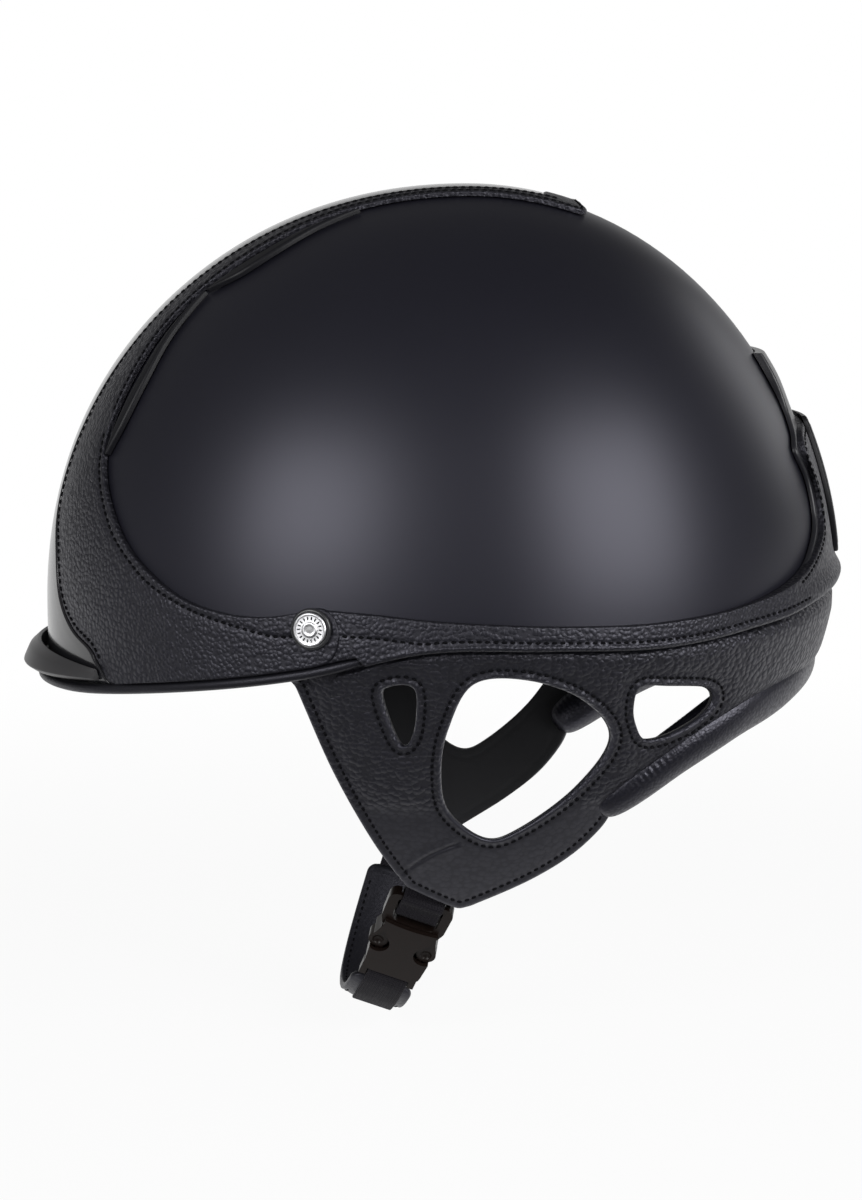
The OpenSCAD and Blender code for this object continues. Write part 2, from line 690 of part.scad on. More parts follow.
// Point of the harness's outer face at an azimuth and a height, less a depth into the leather
function skirt_point(az, z, depth) =
    let (along = cos(az) > 0 ? skirt_front(z) : skirt_rear(z), across = skirt_half_width(z),
        free = 1 / sqrt(pow(cos(az) / along, 2) + pow(sin(az) / across, 2)),
        tucked = norm([for (i = [0, 1]) wall_point(az, z, harness_high)[i]]),
        tuck = ease((z - shell_edge_z(az) + 7) / 6.5),
        r = mix(free, tucked, tuck) - depth)
    [r * sin(az), -r * cos(az), z];

// Curved sheet that the side panels are cut from, from ahead of the cheek to the mid-plane; its
// columns stand at the shell's own, and its upper rows follow the shell's edge
module skirt_sheet(high, low) {
    column = 360 / around;
    bottom = -101;
    rim_rows = [8, -0.5, -2.5, -7];
    low_rows = [0.13, 0.3, 0.52, 0.76, 1];
    loft([for (k = [7:around / 2])
        let (az = min(k * column, 179.9), rim = shell_edge_z(az), top = harness_top(az) + 2,
            heights = concat([top], [for (d = rim_rows) rim + d],
                [for (t = low_rows) mix(rim - 7, bottom, t)]))
        concat([for (z = heights) skirt_point(az, z, high)],
            [for (i = [len(heights) - 1:-1:0]) skirt_point(az, heights[i], low)])]);
}

// Outline of a side panel in side view: its rear edge runs inside the nape roll
panel_outline = concat(panel_front,
    [for (i = [1:len(nape_line) - 1]) let (p = skirt_point(nape_line[i][0], nape_line[i][1], 0))
        [p.y, p.z]],
    [[140, -23], [140, harness_top(180)]],
    [for (az = [170:-10:60]) [wall_point(az, harness_top(az), harness_high).y, harness_top(az)]],
    [[-67, harness_top(0)]]);

// Outline of a side panel grown by a clearance
module side_view_cut(outline, grow = 0) {
    rotate([90, 0, 90]) linear_extrude(shell_half_width + 20)
        if (grow == 0) polygon(outline);
        else offset(delta = grow) polygon(outline);
}

module harness_panel(high, low, rivet_clear) {
    difference() {
        intersection() {
            skirt_sheet(high, low);
            side_view_cut(panel_outline);
        }
        for (hole = [ear_hole, rear_hole, front_hole]) side_view_cut(closed_line(hole, 2));
        rivet_bores(rivet_clear);
        on_wall(screw_at[0], screw_at[1], -20) cylinder(r = screw_radius + fit, h = 30, $fn = 20);
    }
}

module harness_left() {
    color([0.11, 0.11, 0.12]) harness_panel(0, harness_leather, post_radius + fit);
}

module harness_right() {
    mirror([1, 0, 0]) harness_left();
}

module harness_lining_left() {
    color([0.08, 0.08, 0.09])
        harness_panel(harness_leather + fit, harness_leather + fit + lining, post_radius + fit);
}

module harness_lining_right() {
    mirror([1, 0, 0]) harness_lining_left();
}

// Padded roll round the nape, thickest at the back: the harness's lower edge sits in its groove
module nape_roll() {
    steps = 26;
    sides = 10;
    flat = 0.86;
    proud = 2.3;
    last = len(nape_line) - 1;
    function half(t) = mix(nape_end_radius, nape_radius, ease(1.3 * (1 - abs(t))));
    function at(t, rise = 0, depth = 1) =
        let (p = line_at(nape_line, last * (1 - abs(t))),
            q = skirt_point(p[0], p[1] + rise, depth * (flat * half(t) - proud)))
        [t < 0 ? -q.x : q.x, q.y, q.z];
    color([0.09, 0.09, 0.1]) difference() {
        loft([for (k = [0:steps])
            let (t = 2 * k / steps - 1, p = at(t),
                way = at(min(1, t + 0.02)) - at(max(-1, t - 0.02)),
                slope = at(t, 3, 0) - at(t, -3, 0),
                side = cross(way, slope) / norm(cross(way, slope)),
                up = cross(side, way) / norm(cross(side, way)),
                r = half(t) * sqrt(max(0.1, 1 - pow(abs(t), 24))))
            [for (i = [0:sides - 1])
                let (a = 360 * i / sides, c = cos(a))
                p + side * (flat * r * sign(c) * pow(abs(c), 0.7)) + up * (r * sin(a))]]);
        on_both_sides() intersection() {
            skirt_sheet(-fit, harness_leather + fit + lining + fit);
            side_view_cut(panel_outline, fit);
        }
    }
}

// Children are drawn with x across, y down along the tilted strap and z towards the back
module in_strap_plane() {
    multmatrix([[1, 0, 0, 0],
        [0, -sin(strap_tilt), cos(strap_tilt), strap_pivot[0]],
        [0, -cos(strap_tilt), -sin(strap_tilt), strap_pivot[1]]])
        children();
}

// Children are drawn with x towards the face, y down along the buckle and z outwards
module at_buckle() {
    in_strap_plane()
        multmatrix([[0, buckle_way.x, buckle_way.y, buckle_top.x],
            [0, buckle_way.y, -buckle_way.x, buckle_top.y],
            [-1, 0, 0, 0]])
            children();
}

// Point in the strap plane at a distance along the buckle and outwards from its middle plane
function buckle_point(y, out) =
    buckle_top + buckle_way * y + [buckle_way.y, -buckle_way.x] * out;

// Flat strip of even thickness along a line of points in a plane
function strip_outline(points, thickness) =
    let (n = len(points),
        sides = [for (i = [0:n - 1])
            let (d = points[min(i + 1, n - 1)] - points[max(i - 1, 0)])
            [-d.y, d.x] / norm(d) * thickness / 2])
    concat([for (i = [0:n - 1]) points[i] + sides[i]],
        [for (i = [n - 1:-1:0]) points[i] - sides[i]]);

// Part of a smooth line, from u to v along its points
function part_of(points, u, v, steps) = [for (k = [0:steps]) line_at(points, mix(u, v, k / steps))];

// Outline of a box with rounded corners, each corner in four short steps
function rounded_box(half_low, half_high, y_low, y_high, r_low, r_high) =
    concat([for (a = [0:22.5:90]) [half_high - r_high, y_high - r_high] + r_high * [cos(a), sin(a)]],
        [for (a = [90:22.5:180]) [r_high - half_high, y_high - r_high] + r_high * [cos(a), sin(a)]],
        [for (a = [180:22.5:270]) [r_low - half_low, y_low + r_low] + r_low * [cos(a), sin(a)]],
        [for (a = [270:22.5:360]) [half_low - r_low, y_low + r_low] + r_low * [cos(a), sin(a)]]);

// Places along the buckle, measured from the top of its ladder frame
frame_half = buckle_width / 2;
window_half = webbing_width / 2 + 0.7;
top_bar_end = 1.8;
ladder_bar = [5.4, 8.2];
window_end = ladder_length - 2.6;
bar_half_thickness = 1;
female_start = ladder_length + fit;
female_end = female_start + female_length;
tail_bar_y = female_end + 3.9;
tail_bar_half = 1.4;
wrap = bar_half_thickness + webbing / 2 + 0.2;

// Loop of webbing from the near cheek, under the top bar and round the ladder bar
module buckle_webbing() {
    path = concat(near_outer, [buckle_point(-0.5, -0.5), buckle_point(2.3, -0.5), buckle_point(4.9, wrap)],
        [for (a = [0:30:180]) buckle_point(ladder_bar[1] - 0.5 + wrap * sin(a), wrap * cos(a))],
        [buckle_point(4, -wrap - 0.4), buckle_point(0, -wrap - 0.9)], near_inner);
    color([0.12, 0.12, 0.13]) in_strap_plane()
        linear_extrude(webbing_width, center = true) polygon(strip_outline(path, webbing));
}

// Male half: a ladder frame and the tongue that guides it into the female half
module buckle_male() {
    color([0.13, 0.12, 0.11]) at_buckle() {
        difference() {
            linear_extrude(ladder_thickness, center = true)
                polygon(rounded_box(frame_half, frame_half - 0.4, 0, ladder_length, 3.2, 1.2));
            linear_extrude(10, center = true)
                polygon(rounded_box(window_half, window_half, top_bar_end, window_end, 1.2, 1.2));
            translate([-window_half, -1, -5]) cube([2 * window_half, ladder_bar[0] - 0.4, 5.6]);
            for (s = [-1, 1]) translate([s * prong_root.x, prong_root.y, -5])
                cylinder(r = prong_width / 2 + 0.15, h = 10, $fn = 24);
        }
        translate([-window_half - 1, ladder_bar[0], -bar_half_thickness])
            cube([2 * window_half + 2, ladder_bar[1] - ladder_bar[0], 2 * bar_half_thickness]);
        translate([-2, ladder_length - 1, -1.2]) cube([4, 13, 2.4]);
    }
}

// One prong, with its round root in the male half and its button in the side window
prong_root = [6.6, ladder_length];
button_at = [8.5, female_start + 8.4];

module prong(side) {
    end_y = button_at.y + 6;
    color([0.15, 0.14, 0.13]) at_buckle() mirror([side < 0 ? 1 : 0, 0, 0])
        linear_extrude(4, center = true) union() {
            translate(prong_root) circle(r = prong_width / 2, $fn = 24);
            polygon([prong_root + [-prong_width / 2, 0], prong_root + [prong_width / 2, 0],
                [button_at.x + 0.4, button_at.y], [button_at.x - 0.2, end_y],
                [button_at.x - 0.2 - prong_width, end_y], [button_at.x - prong_width, button_at.y]]);
            translate(button_at) circle(r = button_radius, $fn = 24);
        }
}

module prong_front() {
    prong(1);
}

module prong_rear() {
    prong(-1);
}

// Female half: a hollow body with drop-shaped side windows and a bar for the chin webbing
module buckle_female() {
    window_r = button_radius + 0.7;
    cavity_half = frame_half - 2;
    drop = concat([for (a = [-30:20:210]) window_r * [cos(a), sin(a)]], [[0, -window_r - 2.6]]);
    color([0.13, 0.12, 0.11]) at_buckle() difference() {
        union() {
            linear_extrude(buckle_thickness, center = true)
                polygon(rounded_box(frame_half, frame_half - 1.4, female_start, female_end, 1.2, 3.4));
            for (s = [-1, 1])
                translate([s * (frame_half - 2.8) - 1.2, female_end - 1, -1.6])
                    cube([2.4, tail_bar_y - female_end + 1 + tail_bar_half, 3.2]);
            translate([-frame_half + 3, tail_bar_y - tail_bar_half, -bar_half_thickness])
                cube([buckle_width - 6, 2 * tail_bar_half, 2 * bar_half_thickness]);
        }
        translate([-cavity_half, female_start - 1, -buckle_thickness / 2 + buckle_wall])
            cube([2 * cavity_half, female_length - 1.2, buckle_thickness - 2 * buckle_wall]);
        for (s = [-1, 1]) {
            translate([s * button_at.x, button_at.y, -buckle_thickness])
                linear_extrude(2 * buckle_thickness) polygon(drop);
            translate([s * (frame_half + 2.4), button_at.y, -buckle_thickness])
                cylinder(r = window_r + 0.6, h = 2 * buckle_thickness, $fn = 24);
        }
    }
}

// Middle of the chin webbing, from just past the tail bar to the far cheek
chin_way = concat([buckle_point(tail_bar_y + 3.3, -wrap - 0.15)], chin_points);
chin_line = part_of(chin_way, 0, len(chin_way) - 1, 30);

// Chin webbing: its folded end on the sleeve, its turn round the tail bar, then under the chin
module chin_webbing() {
    path = concat([[17.6, 55.6], [24.4, 51], buckle_point(tail_bar_y + 3.7, wrap)],
        [for (a = [0:30:180]) buckle_point(tail_bar_y - 0.9 - wrap * sin(a), wrap * cos(a))],
        chin_line);
    color([0.12, 0.12, 0.13]) in_strap_plane()
        linear_extrude(webbing_width, center = true) polygon(strip_outline(path, webbing));
}

module chin_sleeve() {
    line = part_of(chin_way, sleeve_ends[0], sleeve_ends[1], 18);
    color([0.1, 0.1, 0.11]) in_strap_plane() difference() {
        linear_extrude(sleeve_width, center = true) polygon(strip_outline(line, sleeve_thickness));
        linear_extrude(webbing_width + 2 * fit, center = true)
            polygon(strip_outline(chin_line, webbing + 2 * fit));
    }
}

outer_shell();
impact_liner();
crown_liner();
crown_pad();
brow_pad();
side_pad_left();
side_pad_right();
rear_pad();
pad_discs();
centre_strip();
front_leather_left();
front_leather_right();
rear_leather_band();
rear_insert();
rear_plate();
rim_piping();
front_bumper();
vent_trims_left();
vent_trims_right();
rivet_caps();
rivet_rings();
rivet_posts();
rivet_washers();
harness_screws();
harness_left();
harness_right();
harness_lining_left();
harness_lining_right();
nape_roll();
buckle_webbing();
buckle_male();
prong_front();
prong_rear();
buckle_female();
chin_webbing();
chin_sleeve();
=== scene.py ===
# %% [markdown]
# # A jockey helmet, dressed piece by piece
# The real helmet is a matt black shell with leather trim, a gloss strip over its crown, a
# leather harness with openings round the ear, a padded roll at the nape and a buckled chin
# strap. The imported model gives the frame: every piece here is made in the same place and at
# the same size, then rides on the body that carries it.

# %% Tools and the frame
import math
import bmesh
import bpy
import numpy as np
from mathutils import Matrix, Vector
from mathutils.geometry import delaunay_2d_cdt


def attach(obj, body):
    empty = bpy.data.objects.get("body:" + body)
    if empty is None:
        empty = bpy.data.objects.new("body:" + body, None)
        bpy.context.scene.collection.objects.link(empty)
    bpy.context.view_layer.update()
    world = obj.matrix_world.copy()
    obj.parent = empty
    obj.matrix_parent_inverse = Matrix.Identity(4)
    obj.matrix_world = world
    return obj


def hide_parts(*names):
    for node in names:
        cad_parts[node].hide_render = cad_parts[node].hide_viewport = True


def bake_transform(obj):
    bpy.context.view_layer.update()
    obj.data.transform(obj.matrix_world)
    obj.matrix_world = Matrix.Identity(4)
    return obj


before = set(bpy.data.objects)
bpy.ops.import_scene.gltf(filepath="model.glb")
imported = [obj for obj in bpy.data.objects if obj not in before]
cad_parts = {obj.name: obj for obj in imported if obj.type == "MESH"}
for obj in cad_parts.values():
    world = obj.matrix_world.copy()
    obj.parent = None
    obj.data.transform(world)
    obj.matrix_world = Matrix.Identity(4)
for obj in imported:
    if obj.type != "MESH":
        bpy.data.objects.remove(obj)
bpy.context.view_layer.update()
MM = 0.001
print("frame loaded with", len(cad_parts), "nodes")

# %% [markdown]
# ## The shell's own geometry
# Almost every piece lies on the shell, so its shape comes first, as a formula: an oval in
# plan, longer ahead of the centre than behind it, that rounds in towards the crown above the
# centre and stands upright below it. A piece then only says where it lies and how far out.

# %% Sizes of the shell, in millimetres and degrees
FRONT, REAR, HALF_WIDTH, HEIGHT, WALL = 147.0, 128.3, 112.0, 146.8, 4.0
SIDE_POWER, FRONT_GAIN = 2.05, 0.04
EDGE_STEP = 20.0
EDGE_HEIGHTS = [-25, -23, -17, -9.6, 0.2, 0.6, -0.4, 3, 8.5, 11.5]
PIPING_HEIGHT, PIPING_DEPTH, PIPING_NOSE, PIPING_END = 3.6, 6.4, 3.8, 69.2
BAND_TURN, BAND_ROLL = 1.5, 2.3
FIT, SEAT_GAP, LEATHER = 0.3, 0.5, 1.7
TRIM_LOW = SEAT_GAP
STRIP_HIGH = TRIM_LOW + 2.0
LEATHER_HIGH = TRIM_LOW + LEATHER
INSERT_HIGH = TRIM_LOW + 1.5
YOKE_LOW = INSERT_HIGH + FIT
PLATE_LOW = YOKE_LOW + LEATHER + FIT
PLATE_HIGH = PLATE_LOW + 1.9
HARNESS_HIGH = -WALL - FIT - SEAT_GAP
LINER_LOW = HARNESS_HIGH - 21.0
REBATE_HIGH = HARNESS_HIGH - 4.8
PAD_HIGH = LINER_LOW - 2.2


# %% Lines and places on the shell
def ease(t):
    t = np.clip(t, 0, 1)
    return t * t * (3 - 2 * t)


def mix(a, b, t):
    return a + (b - a) * t


def line_at(points, u):
    """Points of a smooth line through the given ones, where u counts points."""
    p = np.asarray(points, float)
    flat = p.ndim == 1
    p = p.reshape(len(p), -1)
    u = np.asarray(u, float)
    last = len(p) - 1
    i = np.clip(np.floor(u).astype(int), 0, last - 1)
    f = (u - i)[..., None]
    a, b, c, d = p[np.maximum(i - 1, 0)], p[i], p[i + 1], p[np.minimum(i + 2, last)]
    out = b + 0.5 * f * (c - a + f * (2 * a - 5 * b + 4 * c - d + f * (3 * b - a - 3 * c + d)))
    return out[..., 0] if flat else out


def closed_line(points, steps):
    """A smooth closed line through the points, with some steps from each to the next."""
    p = list(points)
    ring = np.array([p[-1]] + p + p[:3], float)
    return line_at(ring, 1 + np.arange(len(p) * steps) / steps)


def bell(at, centre, width):
    return np.exp(-((at - centre) / width) ** 2)


def run_along(points):
    """Distance along a polyline at each of its points."""
    return np.concatenate([[0], np.cumsum(np.linalg.norm(np.diff(points, axis=0), axis=1))])


def round_angles(count):
    return np.linspace(0, 2 * np.pi, count + 1)[:-1]


def unit(v):
    return v / np.maximum(np.linalg.norm(v, axis=-1, keepdims=True), 1e-9)


def even_line(points, spacing, closed=False):
    """The same polyline with its points an even distance apart."""
    p = np.asarray(points, float)
    if closed:
        p = np.vstack([p, p[:1]])
    run = run_along(p)
    count = max(2, int(round(run[-1] / spacing)) + 1)
    at = np.linspace(0, run[-1], count)[: -1 if closed else None]
    return np.stack([np.interp(at, run, p[:, k]) for k in range(p.shape[1])], axis=1)


def plan_radius(az, out):
    along = np.where(np.cos(az) > 0, FRONT, REAR) + out
    return 1 / np.hypot(np.cos(az) / along, np.sin(az) / (HALF_WIDTH + out))


def wall_point(az, z, out):
    """Point at an azimuth from the front, a height, and a distance out from the shell."""
    a, z, out = np.broadcast_arrays(np.radians(az), np.asarray(z, float), np.asarray(out, float))
    power = SIDE_POWER + FRONT_GAIN * np.cos(a)
    rise = np.clip(z / (HEIGHT + out), 0, 1)
    r = plan_radius(a, out) * (1 - rise ** power) ** (1 / power)
    return np.stack([r * np.sin(a), -r * np.cos(a), z], axis=-1)


def seat(points, out):
    """The points moved along their rays until they lie a distance out from the shell."""
    p = np.asarray(points, float)
    out = np.broadcast_to(np.asarray(out, float), p.shape[:-1])
    a = np.arctan2(p[..., 0], -p[..., 1])
    rho = np.maximum(np.hypot(p[..., 0], p[..., 1]), 1e-6)
    power = SIDE_POWER + FRONT_GAIN * np.cos(a)
    r = plan_radius(a, out)
    up = np.maximum(p[..., 2], 0)
    dome = ((rho / r) ** power + (up / (HEIGHT + out)) ** power) ** (-1 / power)
    side = r / rho
    high = p[..., 2] > 0
    return np.stack([p[..., 0] * np.where(high, dome, side),
                     p[..., 1] * np.where(high, dome, side),
                     p[..., 2] * np.where(high, dome, 1)], axis=-1)


def on_band(points, out):
    """Place of (azimuth, height) pairs a distance out from the shell."""
    return wall_point(points[..., 0], points[..., 1], out)


def face_normal(points):
    p = np.asarray(points, float)
    along = np.where(p[..., 1] < 0, FRONT, REAR)
    n = np.stack([p[..., 0] / HALF_WIDTH ** 2, p[..., 1] / along ** 2,
                  np.maximum(0, p[..., 2]) / HEIGHT ** 2], axis=-1)
    return n / np.linalg.norm(n, axis=-1, keepdims=True)


def from_front(az):
    """How far an azimuth lies from the front, to either side."""
    turn = np.abs(np.asarray(az, float)) % 360
    return np.where(turn > 180, 360 - turn, turn)


def edge_z(az):
    return line_at(EDGE_HEIGHTS, from_front(az) / EDGE_STEP)


def shell_edge_z(az):
    return edge_z(az) + mix(PIPING_HEIGHT + FIT, BAND_TURN, ease((from_front(az) - 67) / 10))


print("front edge", edge_z(0), "crown", wall_point(0, 0, 0)[1])

# %% [markdown]
# ## From points to pieces
# A moulded or cut part is rarely a primitive. Grids of points worked out from the formulas are
# joined into closed solids, with a fine row of points at each edge, so that the edge can be
# rounded as leather is skived and plastic is moulded. Each vertex keeps its distance from the
# edge as an attribute, which the materials read for paler or darker borders, and on the rivet
# caps for painted shade in the grooves.


# %% Meshes and pieces
def new_object(name, data):
    obj = bpy.data.objects.new(name, data)
    bpy.context.scene.collection.objects.link(obj)
    return obj


def evaluated_mesh(obj):
    """Mesh of an object as its modifiers leave it."""
    bpy.context.view_layer.update()
    graph = bpy.context.evaluated_depsgraph_get()
    return bpy.data.meshes.new_from_object(obj.evaluated_get(graph))


def make_mesh(name, points, faces, edge=None, material=None, merge=1e-7):
    """Closed mesh from points in millimetres, its faces turned outwards."""
    mesh = bpy.data.meshes.new(name)
    mesh.from_pydata((np.asarray(points, float) * MM).tolist(), [],
                     [tuple(map(int, f)) for f in faces])
    bm = bmesh.new()
    bm.from_mesh(mesh)
    layer = bm.verts.layers.float.new("edge_mm")
    bm.verts.ensure_lookup_table()
    if edge is not None:
        for v, d in zip(bm.verts, np.asarray(edge, float).ravel()):
            v[layer] = d
    bmesh.ops.remove_doubles(bm, verts=bm.verts, dist=merge)
    bmesh.ops.recalc_face_normals(bm, faces=bm.faces)
    bm.to_mesh(mesh)
    bm.free()
    if material:
        mesh.materials.append(material)
    return mesh


def smooth_by_angle(mesh, degrees):
    mesh.shade_smooth()
    mesh.set_sharp_from_angle(angle=math.radians(degrees))


def hold(obj, body):
    """Puts a piece on its body. A bend between two bodies, given as (a, b, start, end) in
    millimetres, is not made: such a piece only stays where it is.
    """
    if isinstance(body, str):
        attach(obj, body)
    else:
        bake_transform(obj)


def add_piece(name, mesh, body, nodes=(), smooth=50):
    """Object from a mesh, held by a body and standing for CAD nodes."""
    obj = new_object(name, mesh)
    if smooth:
        smooth_by_angle(mesh, smooth)
    hold(obj, body)
    if nodes:
        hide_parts(*nodes)
    return obj


def add_solid(name, solid, material, node_name, smooth=50, edge=None):
    """Piece of the helmet's body, from the points and faces of a closed solid."""
    mesh = make_mesh(name, *solid, edge, material)
    return add_piece(name, mesh, "helmet", [node_name], smooth)


def joined(solids):
    """Points and faces of several solids as one."""
    points, faces = [], []
    for more_points, more_faces in solids:
        n = sum(len(p) for p in points)
        points.append(more_points)
        faces += [[k + n for k in f] for f in more_faces]
    return np.vstack(points), faces


def grid_faces(rows, cols, start=0, wrap=False):
    i, j = np.meshgrid(np.arange(rows - 1), np.arange(cols if wrap else cols - 1), indexing="ij")
    k = (j + 1) % cols
    a, b, c, d = i * cols + j, i * cols + k, (i + 1) * cols + k, (i + 1) * cols + j
    return (np.stack([a, b, c, d], axis=-1).reshape(-1, 4) + start).tolist()


def sheet_solid(top, low):
    """Points and faces of a sheet with a top and a low face, closed all round."""
    rows, cols = top.shape[:2]
    n = rows * cols
    index = np.arange(n).reshape(rows, cols)
    loop = np.concatenate([index[0, :-1], index[:-1, -1], index[-1, :0:-1], index[:0:-1, 0]])
    faces = grid_faces(rows, cols) + [f[::-1] for f in grid_faces(rows, cols, n)]
    faces += [[a, b, b + n, a + n] for a, b in zip(loop, np.roll(loop, -1))]
    return np.vstack([top.reshape(-1, 3), low.reshape(-1, 3)]), faces


def tube_solid(rings):
    """Points and faces of a solid through closed rings, capped at both ends."""
    rows, cols = rings.shape[:2]
    faces = grid_faces(rows, cols, wrap=True)
    faces += [list(range(cols))[::-1], list(range((rows - 1) * cols, rows * cols))]
    return rings.reshape(-1, 3), faces


def edge_drop(d, radius):
    """How far a rounded border lies under the face, at a distance from the edge."""
    x = np.clip(1 - d / radius, 0, 1)
    return radius * (1 - np.sqrt(1 - x * x))


NEAR_EDGE = np.array([0, 0.06, 0.22, 0.5, 0.85, 1.3, 1.8, 2.4, 3.1, 3.9, 4.8, 5.8])


def nearest(points, line):
    """Distance from each point to the nearest spot of a finely stepped line."""
    line = even_line(line, 0.8)
    flat = points.reshape(-1, points.shape[-1])
    best = np.full(len(flat), 1e9)
    for k in range(0, len(flat), 4000):
        gap = flat[k:k + 4000, None] - line[None]
        best[k:k + 4000] = np.sqrt((gap ** 2).sum(-1)).min(1)
    return best.reshape(points.shape[:-1])


def fitted_sheet(edge_a, edge_b, place, low, high, radius=0.7, middle=10, grooves=(), ends=(1, 1),
                 lift=None):
    """Sheet between two edges, given row by row. place turns its spots into points at a
    distance out; grooves are (line, depth, width) pressed into the face along seams."""
    a, b = np.asarray(edge_a, float), np.asarray(edge_b, float)
    width = np.linalg.norm(place(b, 0.0) - place(a, 0.0), axis=-1)
    near = NEAR_EDGE[None] * np.minimum(1, width[:, None] * 0.45 / NEAR_EDGE[-1])
    inner = mix(near[:, -1:], width[:, None] - near[:, -1:],
                np.linspace(0, 1, middle + 2)[None, 1:-1])
    across = np.hstack([near, inner, width[:, None] - near[:, ::-1]])
    spots = a[:, None] + (b - a)[:, None] * (across / np.maximum(width[:, None], 1e-6))[..., None]
    base = place(spots, 0.0)
    d = np.minimum(across, width[:, None] - across)
    run = run_along(base[:, base.shape[1] // 2])[:, None]
    if ends[0]:
        d = np.minimum(d, run)
    if ends[1]:
        d = np.minimum(d, run[-1] - run)
    out = high - edge_drop(d, radius)
    for line, depth, spread in grooves:
        out = out - depth * bell(nearest(base, line), 0, spread)
    if lift is not None:
        out = out + lift(spots, d)
    return place(spots, out), place(spots, np.broadcast_to(low, d.shape)), d


def rows_along(count, last, length):
    """Row positions along an edge of so many points, closer together at both ends."""
    near = NEAR_EDGE[:8] / length * last
    middle = np.linspace(near[-1], last - near[-1], count)[1:-1]
    return np.concatenate([near, middle, last - near[::-1]])


def add_sheets(name, sheets, material, node_name, flip=1):
    """Piece made of sheets; flip is -1 for a right one, given by its left twin."""
    points, faces = joined([sheet_solid(top, low) for top, low, d in sheets])
    edge = np.concatenate([np.concatenate([d.ravel(), 0 * d.ravel()]) for top, low, d in sheets])
    return add_solid(name, (points * [flip, 1, 1], faces), material, node_name, 60, edge)


SIDES = (("left", 1), ("right", -1))


# %% [markdown]
# ## Finishes
# What makes black on black readable is surface: pebbled hide, satin lacquer, gloss plastic,
# woven tape. Four small node groups carry the patterns of all finishes. Three of them read
# Object coordinates and the weave its tape's UV map, so a pattern stays put on its piece at
# every pose and in every view.


# %% A small helper for node trees
def node(tree, kind, inputs=None, **settings):
    """New node with its settings and inputs; an input is a value or another node's output."""
    made = tree.nodes.new(kind)
    for key, value in settings.items():
        setattr(made, key, value)
    for key, value in (inputs or {}).items():
        if isinstance(value, bpy.types.NodeSocket):
            tree.links.new(value, made.inputs[key])
        else:
            made.inputs[key].default_value = value
    return made


def new_group(name, inputs, outputs):
    """Empty shader group with float inputs and outputs, and its two end nodes."""
    tree = bpy.data.node_groups.new(name, "ShaderNodeTree")
    for label, value in inputs:
        socket = tree.interface.new_socket(label, in_out="INPUT", socket_type="NodeSocketFloat")
        socket.default_value = value
    for label in outputs:
        tree.interface.new_socket(label, in_out="OUTPUT", socket_type="NodeSocketFloat")
    return tree, tree.nodes.new("NodeGroupInput"), tree.nodes.new("NodeGroupOutput")


def maths(tree, operation, a, b=0.0, clamp=False):
    return node(tree, "ShaderNodeMath", {0: a, 1: b}, operation=operation,
                use_clamp=clamp).outputs[0]


def vector_maths(tree, operation, inputs, output=0):
    return node(tree, "ShaderNodeVectorMath", inputs, operation=operation).outputs[output]


def map_range(tree, value, low, high, to_low=0.0, to_high=1.0, kind="LINEAR"):
    return node(tree, "ShaderNodeMapRange", {"Value": value, "From Min": low, "From Max": high,
                "To Min": to_low, "To Max": to_high}, interpolation_type=kind).outputs["Result"]


def noise(tree, where, scale, detail, roughness=0.5):
    return node(tree, "ShaderNodeTexNoise", {"Vector": where, "Scale": scale, "Detail": detail,
                "Roughness": roughness}).outputs


def object_place(tree):
    return node(tree, "ShaderNodeTexCoord").outputs["Object"]


def link(tree, end, sockets):
    for label, socket in sockets.items():
        tree.links.new(socket, end.inputs[label])


# %% Pebbled grain: raised cells of hide between fine creases
def grain_group():
    sizes = [("Cells per metre", 800.0), ("Roundness", 0.7)]
    tree, given, result = new_group("pebbled grain", sizes, ["Height", "Crease"])
    where = object_place(tree)
    bend = noise(tree, where, 260.0, 2.0)["Color"]
    centred = vector_maths(tree, "SUBTRACT", {0: bend, 1: (0.5, 0.5, 0.5)})
    push = vector_maths(tree, "SCALE", {0: centred, "Scale": 0.0016})
    spot = vector_maths(tree, "ADD", {0: where, 1: push})
    cells = node(tree, "ShaderNodeTexVoronoi", {"Vector": spot, "Scale": given.outputs[0],
                 "Randomness": 0.85}, feature="F1").outputs["Distance"]
    reach = maths(tree, "DIVIDE", cells, given.outputs[1])
    pebble = maths(tree, "SUBTRACT", 1.0, maths(tree, "MULTIPLY", reach, reach), clamp=True)
    fine = maths(tree, "MULTIPLY", noise(tree, where, 2600.0, 3.0)["Fac"], 0.05)
    # Crease is where the finishes paint shade into the hollows between the pebbles.
    link(tree, result, {"Height": maths(tree, "ADD", pebble, fine),
                        "Crease": maths(tree, "SUBTRACT", 1.0, pebble, clamp=True)})
    return tree


# %% Handling: broad soft patches and small scuffs
def handling_group():
    sizes = [("Patches per metre", 14.0), ("Scuffs", 0.5)]
    tree, given, result = new_group("handling", sizes, ["Patch", "Scuff"])
    where = object_place(tree)
    broad = noise(tree, where, given.outputs[0], 3.0)["Fac"]
    stretched = node(tree, "ShaderNodeMapping", {"Vector": where, "Scale": (1.0, 0.35, 1.0)})
    marks = noise(tree, stretched.outputs[0], 420.0, 6.0, 0.7)["Fac"]
    scuff = map_range(tree, marks, 0.58, 0.8, to_high=given.outputs[1])
    link(tree, result, {"Patch": broad, "Scuff": scuff})
    return tree


